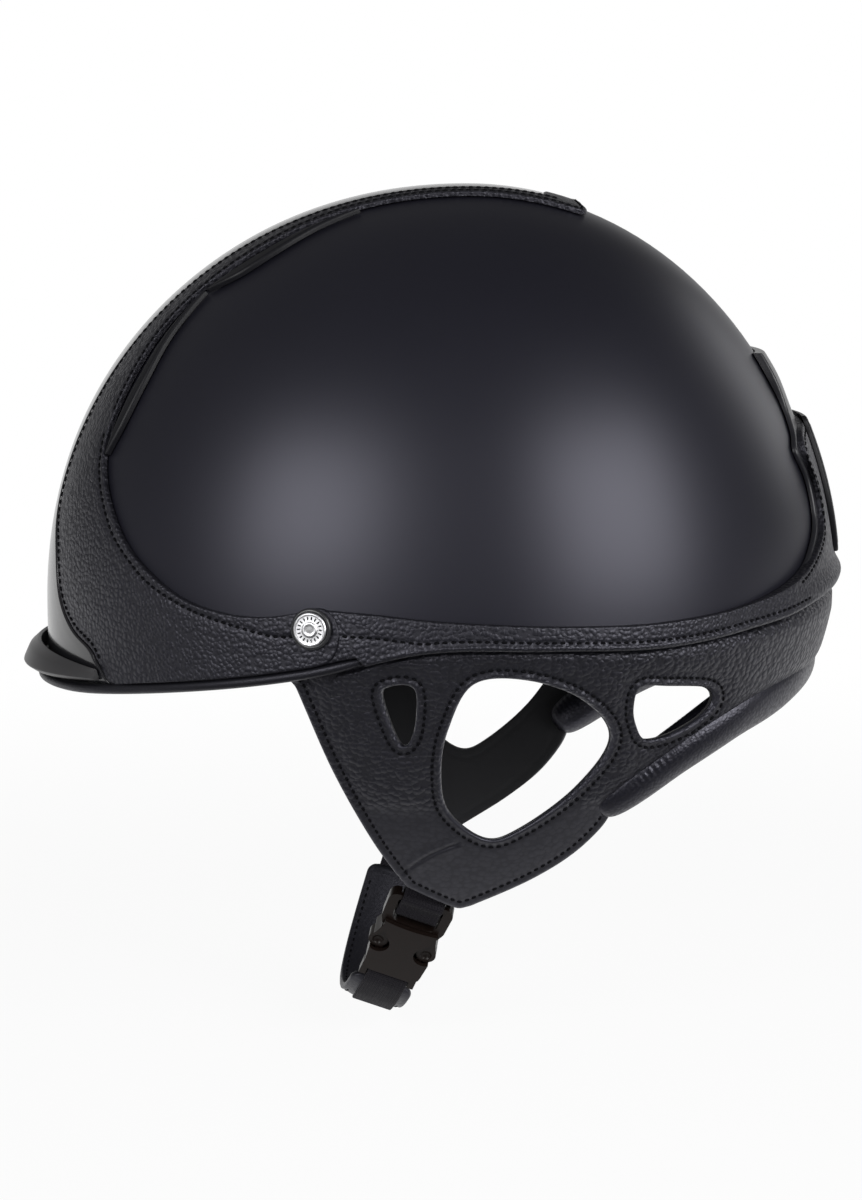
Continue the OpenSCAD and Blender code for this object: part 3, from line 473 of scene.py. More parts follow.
# %% Woven tape: diagonal ribs of thread, read from the tape's own UV map in millimetres
def woven_group():
    tree, given, result = new_group("woven tape", [("Thread width", 1.1)], ["Height", "Gap"])
    uv = node(tree, "ShaderNodeUVMap", uv_map="tape").outputs[0]
    parts = node(tree, "ShaderNodeSeparateXYZ", {0: uv})
    u = maths(tree, "DIVIDE", parts.outputs[0], given.outputs[0])
    v = maths(tree, "DIVIDE", parts.outputs[1], given.outputs[0])
    slant = maths(tree, "ADD", u, maths(tree, "PINGPONG", v, 0.5))
    rib = maths(tree, "SINE", maths(tree, "MULTIPLY", slant, 6.2832))
    pick = maths(tree, "SINE", maths(tree, "MULTIPLY", v, 12.566))
    height = maths(tree, "ADD", maths(tree, "MULTIPLY", rib, 0.5),
                   maths(tree, "MULTIPLY", pick, 0.25))
    # Gap is where the finishes paint shade between the threads.
    link(tree, result, {"Height": height, "Gap": maths(tree, "LESS_THAN", height, -0.45)})
    return tree


# %% Moulded skin: the slight orange peel and satin grain of plastic out of a tool
def moulded_group():
    tree, given, result = new_group("moulded skin", [("Grain per metre", 1500.0)], ["Height"])
    where = object_place(tree)
    peel = noise(tree, where, 90.0, 1.0)["Fac"]
    fine = maths(tree, "MULTIPLY", noise(tree, where, given.outputs[0], 2.0)["Fac"], 0.3)
    link(tree, result, {"Height": maths(tree, "ADD", peel, fine)})
    return tree


GRAIN, HANDLING, WOVEN, MOULDED = grain_group(), handling_group(), woven_group(), moulded_group()
print("pattern groups:", [g.name for g in (GRAIN, HANDLING, WOVEN, MOULDED)])


# %% [markdown]
# A finish is then a Principled shader with plain values on its own sockets, and only what
# changes over the surface is linked: tone, with painted shade in the pattern's creases and gaps,
# roughness and relief.


# %% Building a finish
def use_group(tree, group, **values):
    made = node(tree, "ShaderNodeGroup", node_tree=group)
    for label, value in values.items():
        made.inputs[label.replace("_", " ")].default_value = value
    return made


def blend_tone(tree, share, a, b):
    return node(tree, "ShaderNodeMix", {0: share, 6: a, 7: b}, data_type="RGBA").outputs[2]


def grain(cells, roundness=0.7):
    return GRAIN, {"Cells_per_metre": float(cells), "Roundness": roundness}


def moulded(per_metre):
    return MOULDED, {"Grain_per_metre": float(per_metre)}


def finish(name, color, roughness, pattern, depth, tone=0.25, spread=0.12, edge_tone=None,
           scuffs=0.4, masked=False, **plain):
    """Material of one finish. pattern is a group with its values and depth how deep that goes,
    in mm; tone and spread say how much colour and roughness vary, edge_tone how much paler a
    border is, and masked that the grain_share attribute says where the pattern shows."""
    material = bpy.data.materials.new(name)
    material.use_nodes = True
    tree = material.node_tree
    shader = tree.nodes["Principled BSDF"]
    for label, value in plain.items():
        shader.inputs[label.replace("_", " ")].default_value = value
    group, values = pattern
    pattern = use_group(tree, group, **values)
    handled = use_group(tree, HANDLING, Scuffs=scuffs)
    # The third, much darker shade is painted shade for the pattern's creases and gaps.
    shades = [tuple(c * k for c in color) + (1,) for k in (1 - tone, 1 + tone, 0.35)]
    shade = blend_tone(tree, handled.outputs["Patch"], shades[0], shades[1])
    rough = maths(tree, "ADD", maths(tree, "MULTIPLY", handled.outputs["Patch"], spread),
                  roughness - spread / 2)
    rough = maths(tree, "ADD", rough, maths(tree, "MULTIPLY", handled.outputs["Scuff"], 0.12))
    # Creases and weave gaps are blended towards the dark third shade: painted shade in the
    # hollows.
    shaded_hollow = pattern.outputs.get("Crease") or pattern.outputs.get("Gap")
    if shaded_hollow:
        part = maths(tree, "MULTIPLY", shaded_hollow, 0.6)
        shade = blend_tone(tree, part, shade, shades[2])
        rough = maths(tree, "ADD", rough, maths(tree, "MULTIPLY", shaded_hollow, 0.15))
    if edge_tone is not None:
        reach = node(tree, "ShaderNodeAttribute", attribute_name="edge_mm").outputs["Fac"]
        border = map_range(tree, reach, 0.2, 1.3, 1.0, 0.0)
        shade = blend_tone(tree, border, shade, tuple(c * edge_tone for c in color) + (1,))
    height = pattern.outputs["Height"]
    if masked:
        share = node(tree, "ShaderNodeAttribute", attribute_name="grain_share").outputs["Fac"]
        height = maths(tree, "MULTIPLY", height, share)
    bump = node(tree, "ShaderNodeBump",
                {"Height": height, "Strength": 1.0, "Distance": depth * MM})
    link(tree, shader, {"Base Color": shade, "Roughness": rough, "Normal": bump.outputs[0]})
    return material


# %% The finishes of this helmet
BLUED = {"Specular_Tint": (0.87, 0.86, 1.0, 1.0)}
LACQUER = finish("shell lacquer", (0.007, 0.007, 0.011), 0.4, moulded(2400), 0.012, tone=0.1,
                 spread=0.04, scuffs=0.12, **BLUED)
GLOSS = finish("gloss strip", (0.012, 0.012, 0.014), 0.2, moulded(900), 0.008, tone=0.1,
               spread=0.05, scuffs=0.3, Coat_Weight=0.2, Coat_Roughness=0.08)
INSERT = finish("insert lacquer", (0.012, 0.012, 0.015), 0.34, moulded(1500), 0.012, tone=0.1,
                spread=0.05, scuffs=0.2)
HIDE = finish("trim hide", (0.007, 0.007, 0.01), 0.38, grain(640), 0.19, edge_tone=0.6,
              Specular_IOR_Level=0.58, **BLUED)
PANEL_HIDE = finish("harness hide", (0.009, 0.009, 0.012), 0.38, grain(480), 0.36, edge_tone=1.8,
                    masked=True, Specular_IOR_Level=0.58, **BLUED)
SOFT_HIDE = finish("soft hide", (0.008, 0.008, 0.01), 0.38, grain(1100, 0.9), 0.05, edge_tone=1.3,
                   Specular_IOR_Level=0.42, **BLUED)
PIPING_HIDE = finish("piping hide", (0.006, 0.006, 0.008), 0.4, grain(1300, 0.9), 0.04,
                     Specular_IOR_Level=0.42, **BLUED)
NAPE_HIDE = finish("nape hide", (0.007, 0.007, 0.011), 0.33, grain(800), 0.07,
                   Specular_IOR_Level=0.62, **BLUED)
LINING = finish("brushed lining", (0.008, 0.008, 0.01), 0.85, moulded(1800), 0.12,
                Sheen_Weight=0.15, Sheen_Roughness=0.5)
KNIT = finish("pad knit", (0.02, 0.02, 0.022), 0.8, grain(900), 0.12, Sheen_Weight=0.25,
              Sheen_Roughness=0.5)
FOAM = finish("bead foam", (0.03, 0.03, 0.032), 0.75, grain(330), 0.15)
MOULDING = finish("buckle moulding", (0.008, 0.005, 0.004), 0.36, moulded(1400), 0.02, tone=0.15,
                  scuffs=0.6, Specular_IOR_Level=0.2)
SATIN = finish("bumper moulding", (0.035, 0.034, 0.036), 0.42, moulded(1900), 0.02)
BLADE = finish("vent blade", (0.007, 0.007, 0.009), 0.42, moulded(1500), 0.02,
               Specular_IOR_Level=0.2)
TAPE = finish("woven tape finish", (0.008, 0.007, 0.01), 0.6, (WOVEN, {"Thread_width": 1.1}), 0.1,
              Sheen_Weight=0.015, Sheen_Roughness=0.4, Specular_IOR_Level=0.14)
THREAD = finish("waxed thread", (0.002, 0.002, 0.003), 0.6, moulded(4000), 0.05,
                Specular_IOR_Level=0.08)
# The silver's edge_tone darkens the rivet caps' groove and sunk centre: painted shade.
SILVER = finish("rivet silver", (0.86, 0.86, 0.88), 0.36, moulded(3000), 0.015, tone=0.06,
                edge_tone=0.12, Metallic=1.0)
STEEL = finish("fastener steel", (0.5, 0.5, 0.52), 0.35, moulded(2500), 0.02, tone=0.1,
               Metallic=1.0)
RING = finish("rivet ring", (0.02, 0.02, 0.022), 0.25, moulded(1500), 0.01)
print("finishes:", len(bpy.data.materials))

# %% [markdown]
# ## The shell and its air slots
# A moulded shell is one smooth dome. It is made as rings of points from the edge to the crown,
# outside and inside, and the four slim air slots are cut with a Boolean, as they are punched
# in the real one. The cutters are thin walls of the same outline as the slots.


# %% Rings of a domed wall
def dome_rings(rows, out):
    az = np.arange(AROUND) * 360 / AROUND
    rise = np.sin(np.radians(90 * np.arange(rows) / rows))[:, None]
    return wall_point(az[None], mix(shell_edge_z(az)[None], HEIGHT + out, rise), out)


def domed_solid(outer, inner, outer_tip, inner_tip):
    """Closed wall between an outer and an inner set of rings, each from its edge up to a tip."""
    around = outer.shape[1]
    start = outer.shape[0] * around
    tips = start + inner.shape[0] * around
    faces = grid_faces(outer.shape[0], around, wrap=True)
    faces += grid_faces(inner.shape[0], around, start, True)
    ring = np.arange(around)
    after = np.roll(ring, -1)
    faces += [[a, b, b + start, a + start] for a, b in zip(ring, after)]
    for base, tip in ((start - around, tips), (tips - around, tips + 1)):
        faces += [[base + a, base + b, tip] for a, b in zip(ring, after)]
    points = np.vstack([outer.reshape(-1, 3), inner.reshape(-1, 3),
                        [[0, 0, outer_tip], [0, 0, inner_tip]]])
    return points, faces


SLOT_INNER = [[[42.6, -125, 63], [38.8, -118, 77], [34.6, -109.5, 93]], [[30.6, -88, 116],
    [29.4, -74, 125], [28.4, -62, 132]]]
SLOT_OUTER = [[[43.4, -124, 64], [41.2, -116, 78], [35.6, -108, 93.5]], [[31.6, -87, 116],
    [32.2, -72, 125], [29.6, -61, 132]]]


def tool_object(solid):
    return new_object("tool", make_mesh("tool", *solid))


def work_on(obj, operation, tool):
    """Boolean modifier that joins a tool's form to an object or cuts it away."""
    work = obj.modifiers.new(operation, "BOOLEAN")
    work.operation, work.solver, work.object = operation, "EXACT", tool


def cut_slots(shell):
    """Punches the air slots of both sides through a shell mesh."""
    for inner, outer in zip(SLOT_INNER, SLOT_OUTER):
        u = np.linspace(0, 2, 25)
        a, b = line_at(inner, u), line_at(outer, u)
        corners = ((a, 3.0), (b, 3.0), (b, -WALL - 3), (a, -WALL - 3))
        rings = np.stack([seat(line, out) for line, out in corners], axis=1)
        for side in (1, -1):
            cutter = tool_object(tube_solid(rings * [side, 1, 1]))
            work_on(shell, "DIFFERENCE", cutter)
            cut = evaluated_mesh(shell)
            shell.modifiers.clear()
            shell.data = cut
            bpy.data.objects.remove(cutter)


# %% The outer shell
AROUND = 192
wall = domed_solid(dome_rings(40, 0), dome_rings(24, -WALL), HEIGHT, HEIGHT - WALL)
shell = new_object("outer_shell_moulded",
                   make_mesh("outer_shell_moulded", *wall, material=LACQUER))
cut_slots(shell)
smooth_by_angle(shell.data, 40)
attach(shell, "helmet")
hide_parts("outer_shell")
print("shell faces", len(shell.data.polygons))

# %% [markdown]
# ## The foam liner
# Bead foam fills the dome between the shell and the head, in two mouldings: a ring and a crown.
# The ring's lower edge steps back where the harness runs up between foam and shell, and it is
# the dark wall seen through the openings.


# %% The foam ring
def hoop_solid(rings):
    """Closed solid from rings that follow one another all the way round a section."""
    rows, cols = rings.shape[:2]
    faces = grid_faces(rows + 1, cols, wrap=True)
    return rings.reshape(-1, 3), [[k % (rows * cols) for k in f] for f in faces]


LINER_JOINT = 78.0
liner_az = np.arange(120) * 3.0
liner_turn = from_front(liner_az)
harness_top = mix(15, 27, ease((liner_turn - 90) / 80))
rebate = mix(HARNESS_HIGH, REBATE_HIGH, ease((liner_turn - 45) / 7))
liner_low = shell_edge_z(liner_az) + 1
ring = []
for start, end, out, steps in (
        (liner_low, harness_top + 1, rebate, (0, 0.04, 0.5, 1)),
        (harness_top + 2, LINER_JOINT, HARNESS_HIGH, np.linspace(0, 1, 12)),
        (LINER_JOINT, liner_low + 8, LINER_LOW, np.linspace(0, 1, 16))):
    ring += [wall_point(liner_az, mix(start, end, t), out) for t in steps]
ring += [wall_point(liner_az, liner_low + t, mix(LINER_LOW, REBATE_HIGH - 8, d))
         for t, d in ((4.5, 0.12), (2, 0.4), (0.6, 0.8))]
ring += [wall_point(liner_az, liner_low, REBATE_HIGH - 6)]
add_solid("impact_liner_foam", hoop_solid(np.array(ring)), FOAM, "impact_liner")

# %% The foam crown
rise = np.sin(np.radians(np.linspace(0, 90, 15)[:-1]))[:, None]
domes = [wall_point(liner_az, mix(LINER_JOINT + FIT, HEIGHT + out, rise), out)
         for out in (HARNESS_HIGH, LINER_LOW)]
crown_foam = domed_solid(*domes, HEIGHT + HARNESS_HIGH, HEIGHT + LINER_LOW)
add_solid("crown_liner_foam", crown_foam, FOAM, "crown_liner")

# %% [markdown]
# ## The gloss strip and the front leather
# The strip starts wide at the front rim, narrows beside the intake and runs up over the crown.
# The leather flanks it: from the rivet it follows the piping, sweeps up beside the strip and
# closes round its end behind the crown. Both edges are smooth lines through given points, and
# the face between them is seated on the shell. A shallow groove is pressed along each seam, as
# thread pulls hide down.

# %% Edge lines of strip and leather, left side
STRIP_EDGE = np.array([[64, -126, -17.6], [58, -129, -11.5], [54, -131.5, -7], [43, -136, -2],
    [33, -140, 7], [26, -141, 21], [16, -141, 39], [15.5, -130, 69], [15.5, -110, 97],
    [15.5, -80, 123], [15.5, -40, 141], [15.5, 0, 147], [14, 26, 144]], float)
STRIP_MIDDLE = np.array([[0, -147, -21.6], [0, -147, -18.6], [0, -147, -14], [0, -147, -5],
    [0, -147, 8], [0, -146, 22], [0, -142, 39], [0, -130, 69], [0, -110, 97], [0, -80, 123],
    [0, -40, 141], [0, 0, 147], [0, 27, 144]], float)
piping_top = [[az, float(edge_z(az)) + PIPING_HEIGHT + 0.05] for az in (62.6, 58, 50, 41, 33)]
WING_TAIL = np.array([[66.1, 6], [65.8, 1.5], [64.7, -2.6]] + piping_top)
WING_END = [[14, 27.6, 144], [7, 27.6, 144.5], [0.25, 27.6, 145]]
WING_INNER = np.vstack([on_band(WING_TAIL, 0), STRIP_EDGE + [0.9, 0.2, 0], WING_END])
WING_OUTER = np.array([[107.8, -47.9, 7.5], [107.2, -49.3, 11.3], [106.2, -52, 13.7],
    [105, -55.5, 14.2], [102.5, -63.5, 12], [98, -74.5, 10.4], [91.5, -88, 11.4], [84, -100, 15],
    [75, -110.3, 22], [66, -117.5, 30], [57, -123.4, 41], [49, -126.2, 51.5], [42.4, -125.4, 61.5],
    [38.4, -121, 71], [34.6, -114, 84], [30.6, -105.5, 100], [28.8, -93, 112], [27.8, -72, 127],
    [25.2, -40, 140], [24, 0, 145], [23.2, 24, 141], [21.6, 39.5, 139], [11, 39.5, 140],
    [0.25, 39.5, 140.5]], float)
SIDE_SEAM_AT = np.array([[105.4, -53, 8.6], [104, -60.5, 5.2], [101, -69.5, 4.6], [96, -79.5, 6.6],
    [91, -89.5, 9], [85, -99.5, 12.4], [76, -109.5, 18], [69, -116.5, 24.5], [61, -122.5, 32.5],
    [53, -125.5, 42], [45, -127.5, 53], [39.4, -126.5, 64]], float)
SIDE_SEAM = seat(line_at(SIDE_SEAM_AT, np.linspace(0, 11, 120)), 0)

# %% The gloss strip over the crown
strip_u = rows_along(150, len(STRIP_EDGE) - 1, 380)


def on_strip(spots, out):
    """Place across the strip: spots are (row, side from -1 to 1)."""
    e, m = line_at(STRIP_EDGE, spots[..., 0]), line_at(STRIP_MIDDLE, spots[..., 0])
    v = spots[..., 1:2]
    flat = np.concatenate([v * e[..., :1], mix(m[..., 1:], e[..., 1:], v * v)], axis=-1)
    return seat(flat, out)


left_ends = np.stack([strip_u, np.full_like(strip_u, -1)], axis=1)
right_ends = np.stack([strip_u, np.ones_like(strip_u)], axis=1)
crown_dip = lambda spots, d: -0.9 * ease((spots[..., 0] - 6.5) / 2.5)
strip = fitted_sheet(left_ends, right_ends, on_strip, TRIM_LOW, STRIP_HIGH, radius=0.8,
                     middle=14, lift=crown_dip)
add_sheets("centre_strip_gloss", [strip], GLOSS, "centre_strip")

# %% The front leather, both sides
wing_u = rows_along(230, len(WING_INNER) - 1, 420)
wing_in, wing_out = line_at(WING_INNER, wing_u), line_at(WING_OUTER, wing_u)


def beside(edge, other, distance, rows=slice(None)):
    """Line a set distance from one edge of a cover, towards the other edge."""
    gap = other - edge
    gap = gap / np.maximum(np.linalg.norm(gap, axis=1, keepdims=True), 1e-6)
    return seat(edge + gap * distance, 0)[rows]


crown_rows = (wing_u > 13.2) & (wing_u < 22.6)
crown_seam = beside(wing_out, wing_in, 2.0, crown_rows)
strip_seam = beside(wing_in, wing_out, 2.2, (wing_u > 9) & (wing_u < 20.5))
wing_grooves = [(SIDE_SEAM, 0.45, 0.75), (crown_seam, 0.3, 0.7), (strip_seam, 0.22, 0.7)]
wing = fitted_sheet(wing_in, wing_out, seat, TRIM_LOW, LEATHER_HIGH, radius=0.75, middle=16,
                    grooves=wing_grooves, ends=(1, 0))
for side, flip in SIDES:
    add_sheets(f"front_leather_{side}_hide", [wing], HIDE,
               f"front_leather_{side}", flip)
print("wing rows", len(wing_u), "seams", [len(g[0]) for g in wing_grooves])

# %% [markdown]
# ## The rear band, its yoke, the insert and the plate
# One strip of leather runs round the sides and back and rises into a yoke behind. It is given
# in azimuth and height, since it follows the rim. Its lower border is rolled round a cord at
# the back, so it stands out there. The gloss insert lies under the yoke and the plain plate on
# top of it.

# %% The rear band
BAND_UPPER = np.array([[63, 13.7], [72, 12.6], [80, 11], [92, 9.5], [103, 8.5], [119, 8],
    [136, 10.4], [149, 15.8], [157.5, 23], [164, 32], [165.3, 46], [163, 57], [166, 63], [173, 65],
    [180, 66]], float)
BAND_LOWER_AZ = [63, 72, 80, 92, 103, 119, 136, 147, 154, 160, 165, 169, 172, 176, 180]
half_u = np.concatenate([rows_along(100, 14, 300)[:-8], [14.0]])
upper = line_at(BAND_UPPER, half_u)
lower = np.stack([line_at(BAND_LOWER_AZ, half_u)] * 2, axis=1)
over_piping = ease((PIPING_END + 0.8 - lower[:, 0]) / 1.4)
lower[:, 1] = edge_z(lower[:, 0]) + (PIPING_HEIGHT + 0.05) * over_piping
both = lambda edge: np.vstack([edge, (edge * [-1, 1])[-2::-1]])


def yoke_lift(spots, d):
    """The yoke lies on the insert, the lower border is rolled, most at the back, and the front
    end is skived thin to lie under the front leather."""
    turn = from_front(spots[..., 0])
    above = spots[..., 1] - edge_z(spots[..., 0])
    roll = BAND_ROLL * ease((turn - 138) / 35) * bell(above, 3.0, 3.6)
    lip = 0.55 * bell(above, 1.3, 0.8) * ease((turn - 72) / 6) * ease((165 - turn) / 25)
    skived = 0.85 * ease((68.3 - turn) / 2.4)
    return (YOKE_LOW - TRIM_LOW) * ease((turn - 137) / 11) + roll + lip - skived


side_az = np.linspace(67, 152, 180)
seam_rise = np.interp(side_az, [67, 70, 73, 76, 79.5, 106, 152],
                      [11.4, 9.7, 7.6, 5.4, 3.4, 2.8, 2.8])
band_seams = [wall_point(s * side_az, edge_z(side_az) + seam_rise, 0) for s in (1, -1)]
height = np.linalg.norm(on_band(upper, 0.0) - on_band(lower, 0.0), axis=1)
yoke_seam = upper + (lower - upper) * (2.2 / np.maximum(8, height))[:, None]
yoke_seam = on_band(yoke_seam[half_u > 7.2], 0.0)
band_seams += [yoke_seam, yoke_seam * [-1, 1, 1]]
band = fitted_sheet(both(lower), both(upper), on_band, TRIM_LOW, LEATHER_HIGH, radius=0.75,
                    middle=14, grooves=[(seam, 0.3, 0.7) for seam in band_seams], lift=yoke_lift)
add_sheets("rear_leather_band_hide", [band], HIDE, "rear_leather_band")

# %% The gloss insert under the yoke
INSERT_EDGE = np.array([[13, 30], [18, 27], [24, 22.5], [33, 17.5], [46, 16.5], [57, 19], [63, 16],
    [72, 14], [82, 14], [90, 13.5]], float)
insert_u = rows_along(60, 9, 90)
insert_row = line_at(INSERT_EDGE, insert_u)
insert_lift = lambda spots, d: 1.2 * ease((spots[..., 1] - 68) / 16)
insert_sides = [np.stack([180 + s * insert_row[:, 1], insert_row[:, 0]], axis=1) for s in (-1, 1)]
insert = fitted_sheet(*insert_sides, on_band, TRIM_LOW, INSERT_HIGH, radius=0.8, middle=16,
                      lift=insert_lift)
add_sheets("rear_insert_gloss", [insert], INSERT, "rear_insert")

# %% The plain plate on the yoke
PLATE_SPAN, PLATE_HALF = (18.5, 67.0), 18.0
plate_t = rows_along(50, 1.0, 50)
plate_z = mix(*PLATE_SPAN, plate_t)
plate_w = PLATE_HALF * (0.8 + 0.2 * np.sin(np.pi * np.minimum(1, plate_t * 1.15)))
plate_w = plate_w * (1 - 0.1 * np.clip(1 - np.minimum(plate_t, 1 - plate_t) / 0.06, 0, 1) ** 2)


def on_back(spots, out):
    """Place on the back of the shell: spots are (side offset in mm, height)."""
    r = wall_point(180, spots[..., 1], out)[..., 1]
    return wall_point(180 - np.degrees(spots[..., 0] / r), spots[..., 1], out)


plate_crown = lambda spots, d: 0.35 * ease(d / 3) - 0.3 * bell(d, 2.2, 0.5)
plate_sides = [np.stack([s * plate_w, plate_z], axis=1) for s in (-1, 1)]
plate = fitted_sheet(*plate_sides, on_back, PLATE_LOW, PLATE_HIGH - 0.3, radius=0.7, middle=14,
                     lift=plate_crown)
add_sheets("rear_plate_plain", [plate], BLADE, "rear_plate")

# %% [markdown]
# ## The rim: piping, bumper and vent blades
# Piping is leather rolled round a cord, so it is a tube with a soft oblong section. The
# bumper is a moulded crescent whose lip stands off the strip, so that air passes behind it:
# its section is a closed outline of eight points that swells towards the middle.

# %% Piping along the front rim
piping_t = np.linspace(-1, 1, 241)
az = piping_t * PIPING_END
nose = PIPING_NOSE * ease((34 - np.abs(az)) / 14)
size = 1 - np.abs(piping_t) ** 40 * 0.35
deep = (PIPING_DEPTH + nose) / 2
a = round_angles(28)
soft = lambda v: np.sign(v) * np.abs(v) ** 0.72
across = soft(np.cos(a))[None] * (deep * size)[:, None]
up = soft(np.sin(a))[None] * (PIPING_HEIGHT / 2 * size)[:, None]
rings = wall_point(az[:, None], (edge_z(az) + PIPING_HEIGHT / 2)[:, None] + up,
                   LEATHER_HIGH - PIPING_DEPTH + deep[:, None] + across)
add_solid("rim_piping_rolled", tube_solid(rings), PIPING_HIDE, "rim_piping")

# %% The bumper and the gap behind its lip
BUMPER_REACH, BUMPER_SPREAD = 7.8, 25.0
bumper_t = np.sin(np.radians(np.linspace(-90, 90, 97)))
az = bumper_t * BUMPER_SPREAD
swell = np.maximum(0, 1 - bumper_t ** 2) ** 0.8
share = 0.14 + 0.86 * swell
base = STRIP_HIGH + FIT
top = mix(-13.4, -11.2, 1 - bumper_t ** 2)
foot = mix(top - 3.4, edge_z(az) + PIPING_HEIGHT + FIT, swell ** 0.35)
high = top - foot
reach = BUMPER_REACH * share
lip = base + mix(1, 2.6, share)
section = [(foot, base + 0 * az), (top - high * 0.62, base + 0 * az), (top - high * 0.56, lip - 1),
           (top, lip - 0.6), (top + 0.5, lip + 0.4),
           (top - high * 0.24, base + reach * 0.72 + 0.6),
           (top - high * 0.78, base + reach + 0.8), (foot, base + reach * 0.6 + 0.6)]
flat = np.stack([np.stack(np.broadcast_arrays(az, z, out), axis=-1) for z, out in section], axis=1)
rings = []
for row in flat:
    before, after = np.roll(row, 1, 0), np.roll(row, -1, 0)
    corner = np.concatenate([mix(row, before, 0.16), row * 0.92 + 0.04 * (before + after),
                             mix(row, after, 0.16)], axis=1).reshape(-1, 3)
    rings.append(wall_point(corner[:, 0], corner[:, 1], corner[:, 2]))
add_solid("front_bumper_moulded", tube_solid(np.array(rings)), SATIN,
          "front_bumper", smooth=35)

# %% Blades that edge the air slots
BLADE_INNER = [[[45, -125.5, 58], [43.2, -121.5, 68.5], [40.4, -113.5, 82], [36, -104, 97],
    [32.2, -92, 112.6]], [[32.6, -91, 113.2], [33, -82, 119.5], [32.4, -69, 126.5], [30, -54, 134],
    [27.8, -39, 140.6]]]
BLADE_OUTER = [[[45.8, -125, 58.4], [46.8, -119.6, 69], [44, -111, 83], [38, -102.2, 97.5],
    [32.8, -91.4, 112.8]], [[33.2, -90.4, 113.4], [37.8, -80, 119.6], [36.4, -67, 126.6],
    [32.2, -53, 134], [28.2, -38.6, 140.6]]]
blade_u = rows_along(50, 4, 60)
blades = [fitted_sheet(line_at(inner, blade_u), line_at(outer, blade_u), seat, TRIM_LOW,
                       TRIM_LOW + 1.9, radius=1.0, middle=4)
          for inner, outer in zip(BLADE_INNER, BLADE_OUTER)]
for side, flip in SIDES:
    add_sheets(f"vent_trims_{side}_blades", blades, BLADE, f"vent_trims_{side}", flip)

# %% [markdown]
# ## The rivets
# Each rivet is a pressed cap over a dark ring, turned from a profile. The small pips round the
# cap are a generic knurl: points lie at equal steps round the rivet's axis, and Geometry Nodes
# stand a pip on each.

# %% Turned pieces on the shell's side
RIVET_AT, RIVET_SIDES = (61.7, 7.6), 72
CAP_FOOT = LEATHER_HIGH + 1.5 + 0.35


def wall_frame(az, z, out, depth=0.0):
    """Base point and three directions on the shell: two along it and one outwards."""
    base = wall_point(az, z, depth)
    n = face_normal(base)
    along = np.cross([0, 0, 1], n)
    along = along / np.linalg.norm(along)
    return base + n * out, along, np.cross(n, along), n


def turned(profile, place):
    """Solid turned round an axis from (radius, height) pairs, closed on the axis."""
    origin, along, up, n = place
    a = round_angles(RIVET_SIDES)[:, None]
    spokes = np.cos(a) * along + np.sin(a) * up
    return tube_solid(np.array([origin + r * spokes + h * n for r, h in profile]))


def both_sides(points, faces):
    return joined([(points, faces), (points * [-1, 1, 1], faces)])


cap_profile = [(5.2, -0.05), (5.5, 0.12), (5.5, 0.42), (5.36, 0.66), (5.16, 0.8), (5.0, 0.84),
    (4.86, 0.8), (4.7, 0.7), (4.5, 0.68), (3.6, 0.72), (2.8, 0.7), (2.6, 0.72), (2.44, 0.84),
    (2.3, 1.0), (2.16, 1.06), (1.8, 1.08), (1.56, 0.98), (1.3, 0.94), (0.7, 0.98), (0.05, 0.99)]
points, faces = both_sides(*turned(cap_profile, wall_frame(*RIVET_AT, CAP_FOOT)))
# The groove at the foot of the raised ring and the sunk centre get a small edge value, so the
# silver finish darkens them: painted shade in these hollows.
shaded_hollow = [0.6 if 2.5 < r < 2.8 or r < 1.4 else 2 for r, h in cap_profile]
rivet_caps = make_mesh("rivet_caps_pressed", points, faces,
                       np.tile(np.repeat(shaded_hollow, RIVET_SIDES), 2), SILVER, merge=1e-6)
ring_profile = [(2.4, 0.2), (6.4, 0.2), (6.74, 0.4), (6.8, 0.8), (6.68, 1.3), (6.3, 1.62),
    (5.9, 1.7), (5.66, 1.6), (5.6, 1.2), (2.4, 1.1)]
rivet_rings = both_sides(*turned(ring_profile, wall_frame(*RIVET_AT, LEATHER_HIGH + 0.1)))
add_solid("rivet_rings_black", rivet_rings, RING, "rivet_rings")

# %% [markdown]
# ## What repeats: stitches and pips
# A sewn seam is hundreds of equal stitches at an even pitch, so Geometry Nodes set them: the
# seam is a line, the tree steps along it and puts a short bead of thread at each step, lying
# along the seam. A second tree stands the pips round the rivet caps.


# %% A bead of thread as a node branch
def bead_branch(tree, length, radius, sides):
    """Short rod with round ends: a line whose radius follows a half circle."""
    half = maths(tree, "MULTIPLY", length, 0.5)
    ends = [node(tree, "ShaderNodeCombineXYZ",
                 {2: maths(tree, "MULTIPLY", half, k)}).outputs[0] for k in (-1, 1)]
    line = node(tree, "GeometryNodeCurvePrimitiveLine",
                {"Start": ends[0], "End": ends[1]}).outputs[0]
    line = node(tree, "GeometryNodeResampleCurve", {"Curve": line, "Count": 7},
                mode="COUNT").outputs[0]
    factor = node(tree, "GeometryNodeSplineParameter").outputs["Factor"]
    centred = maths(tree, "SUBTRACT", maths(tree, "MULTIPLY", factor, 2.0), 1.0)
    power = maths(tree, "POWER", maths(tree, "ABSOLUTE", centred), 3.0)
    profile = maths(tree, "SQRT", maths(tree, "SUBTRACT", 1.02, power))
    circle = node(tree, "GeometryNodeCurvePrimitiveCircle",
                  {"Resolution": sides, "Radius": 1.0}).outputs[0]
    return node(tree, "GeometryNodeCurveToMesh", {"Curve": line, "Profile Curve": circle,
                "Scale": maths(tree, "MULTIPLY", profile, radius), "Fill Caps": True}).outputs[0]


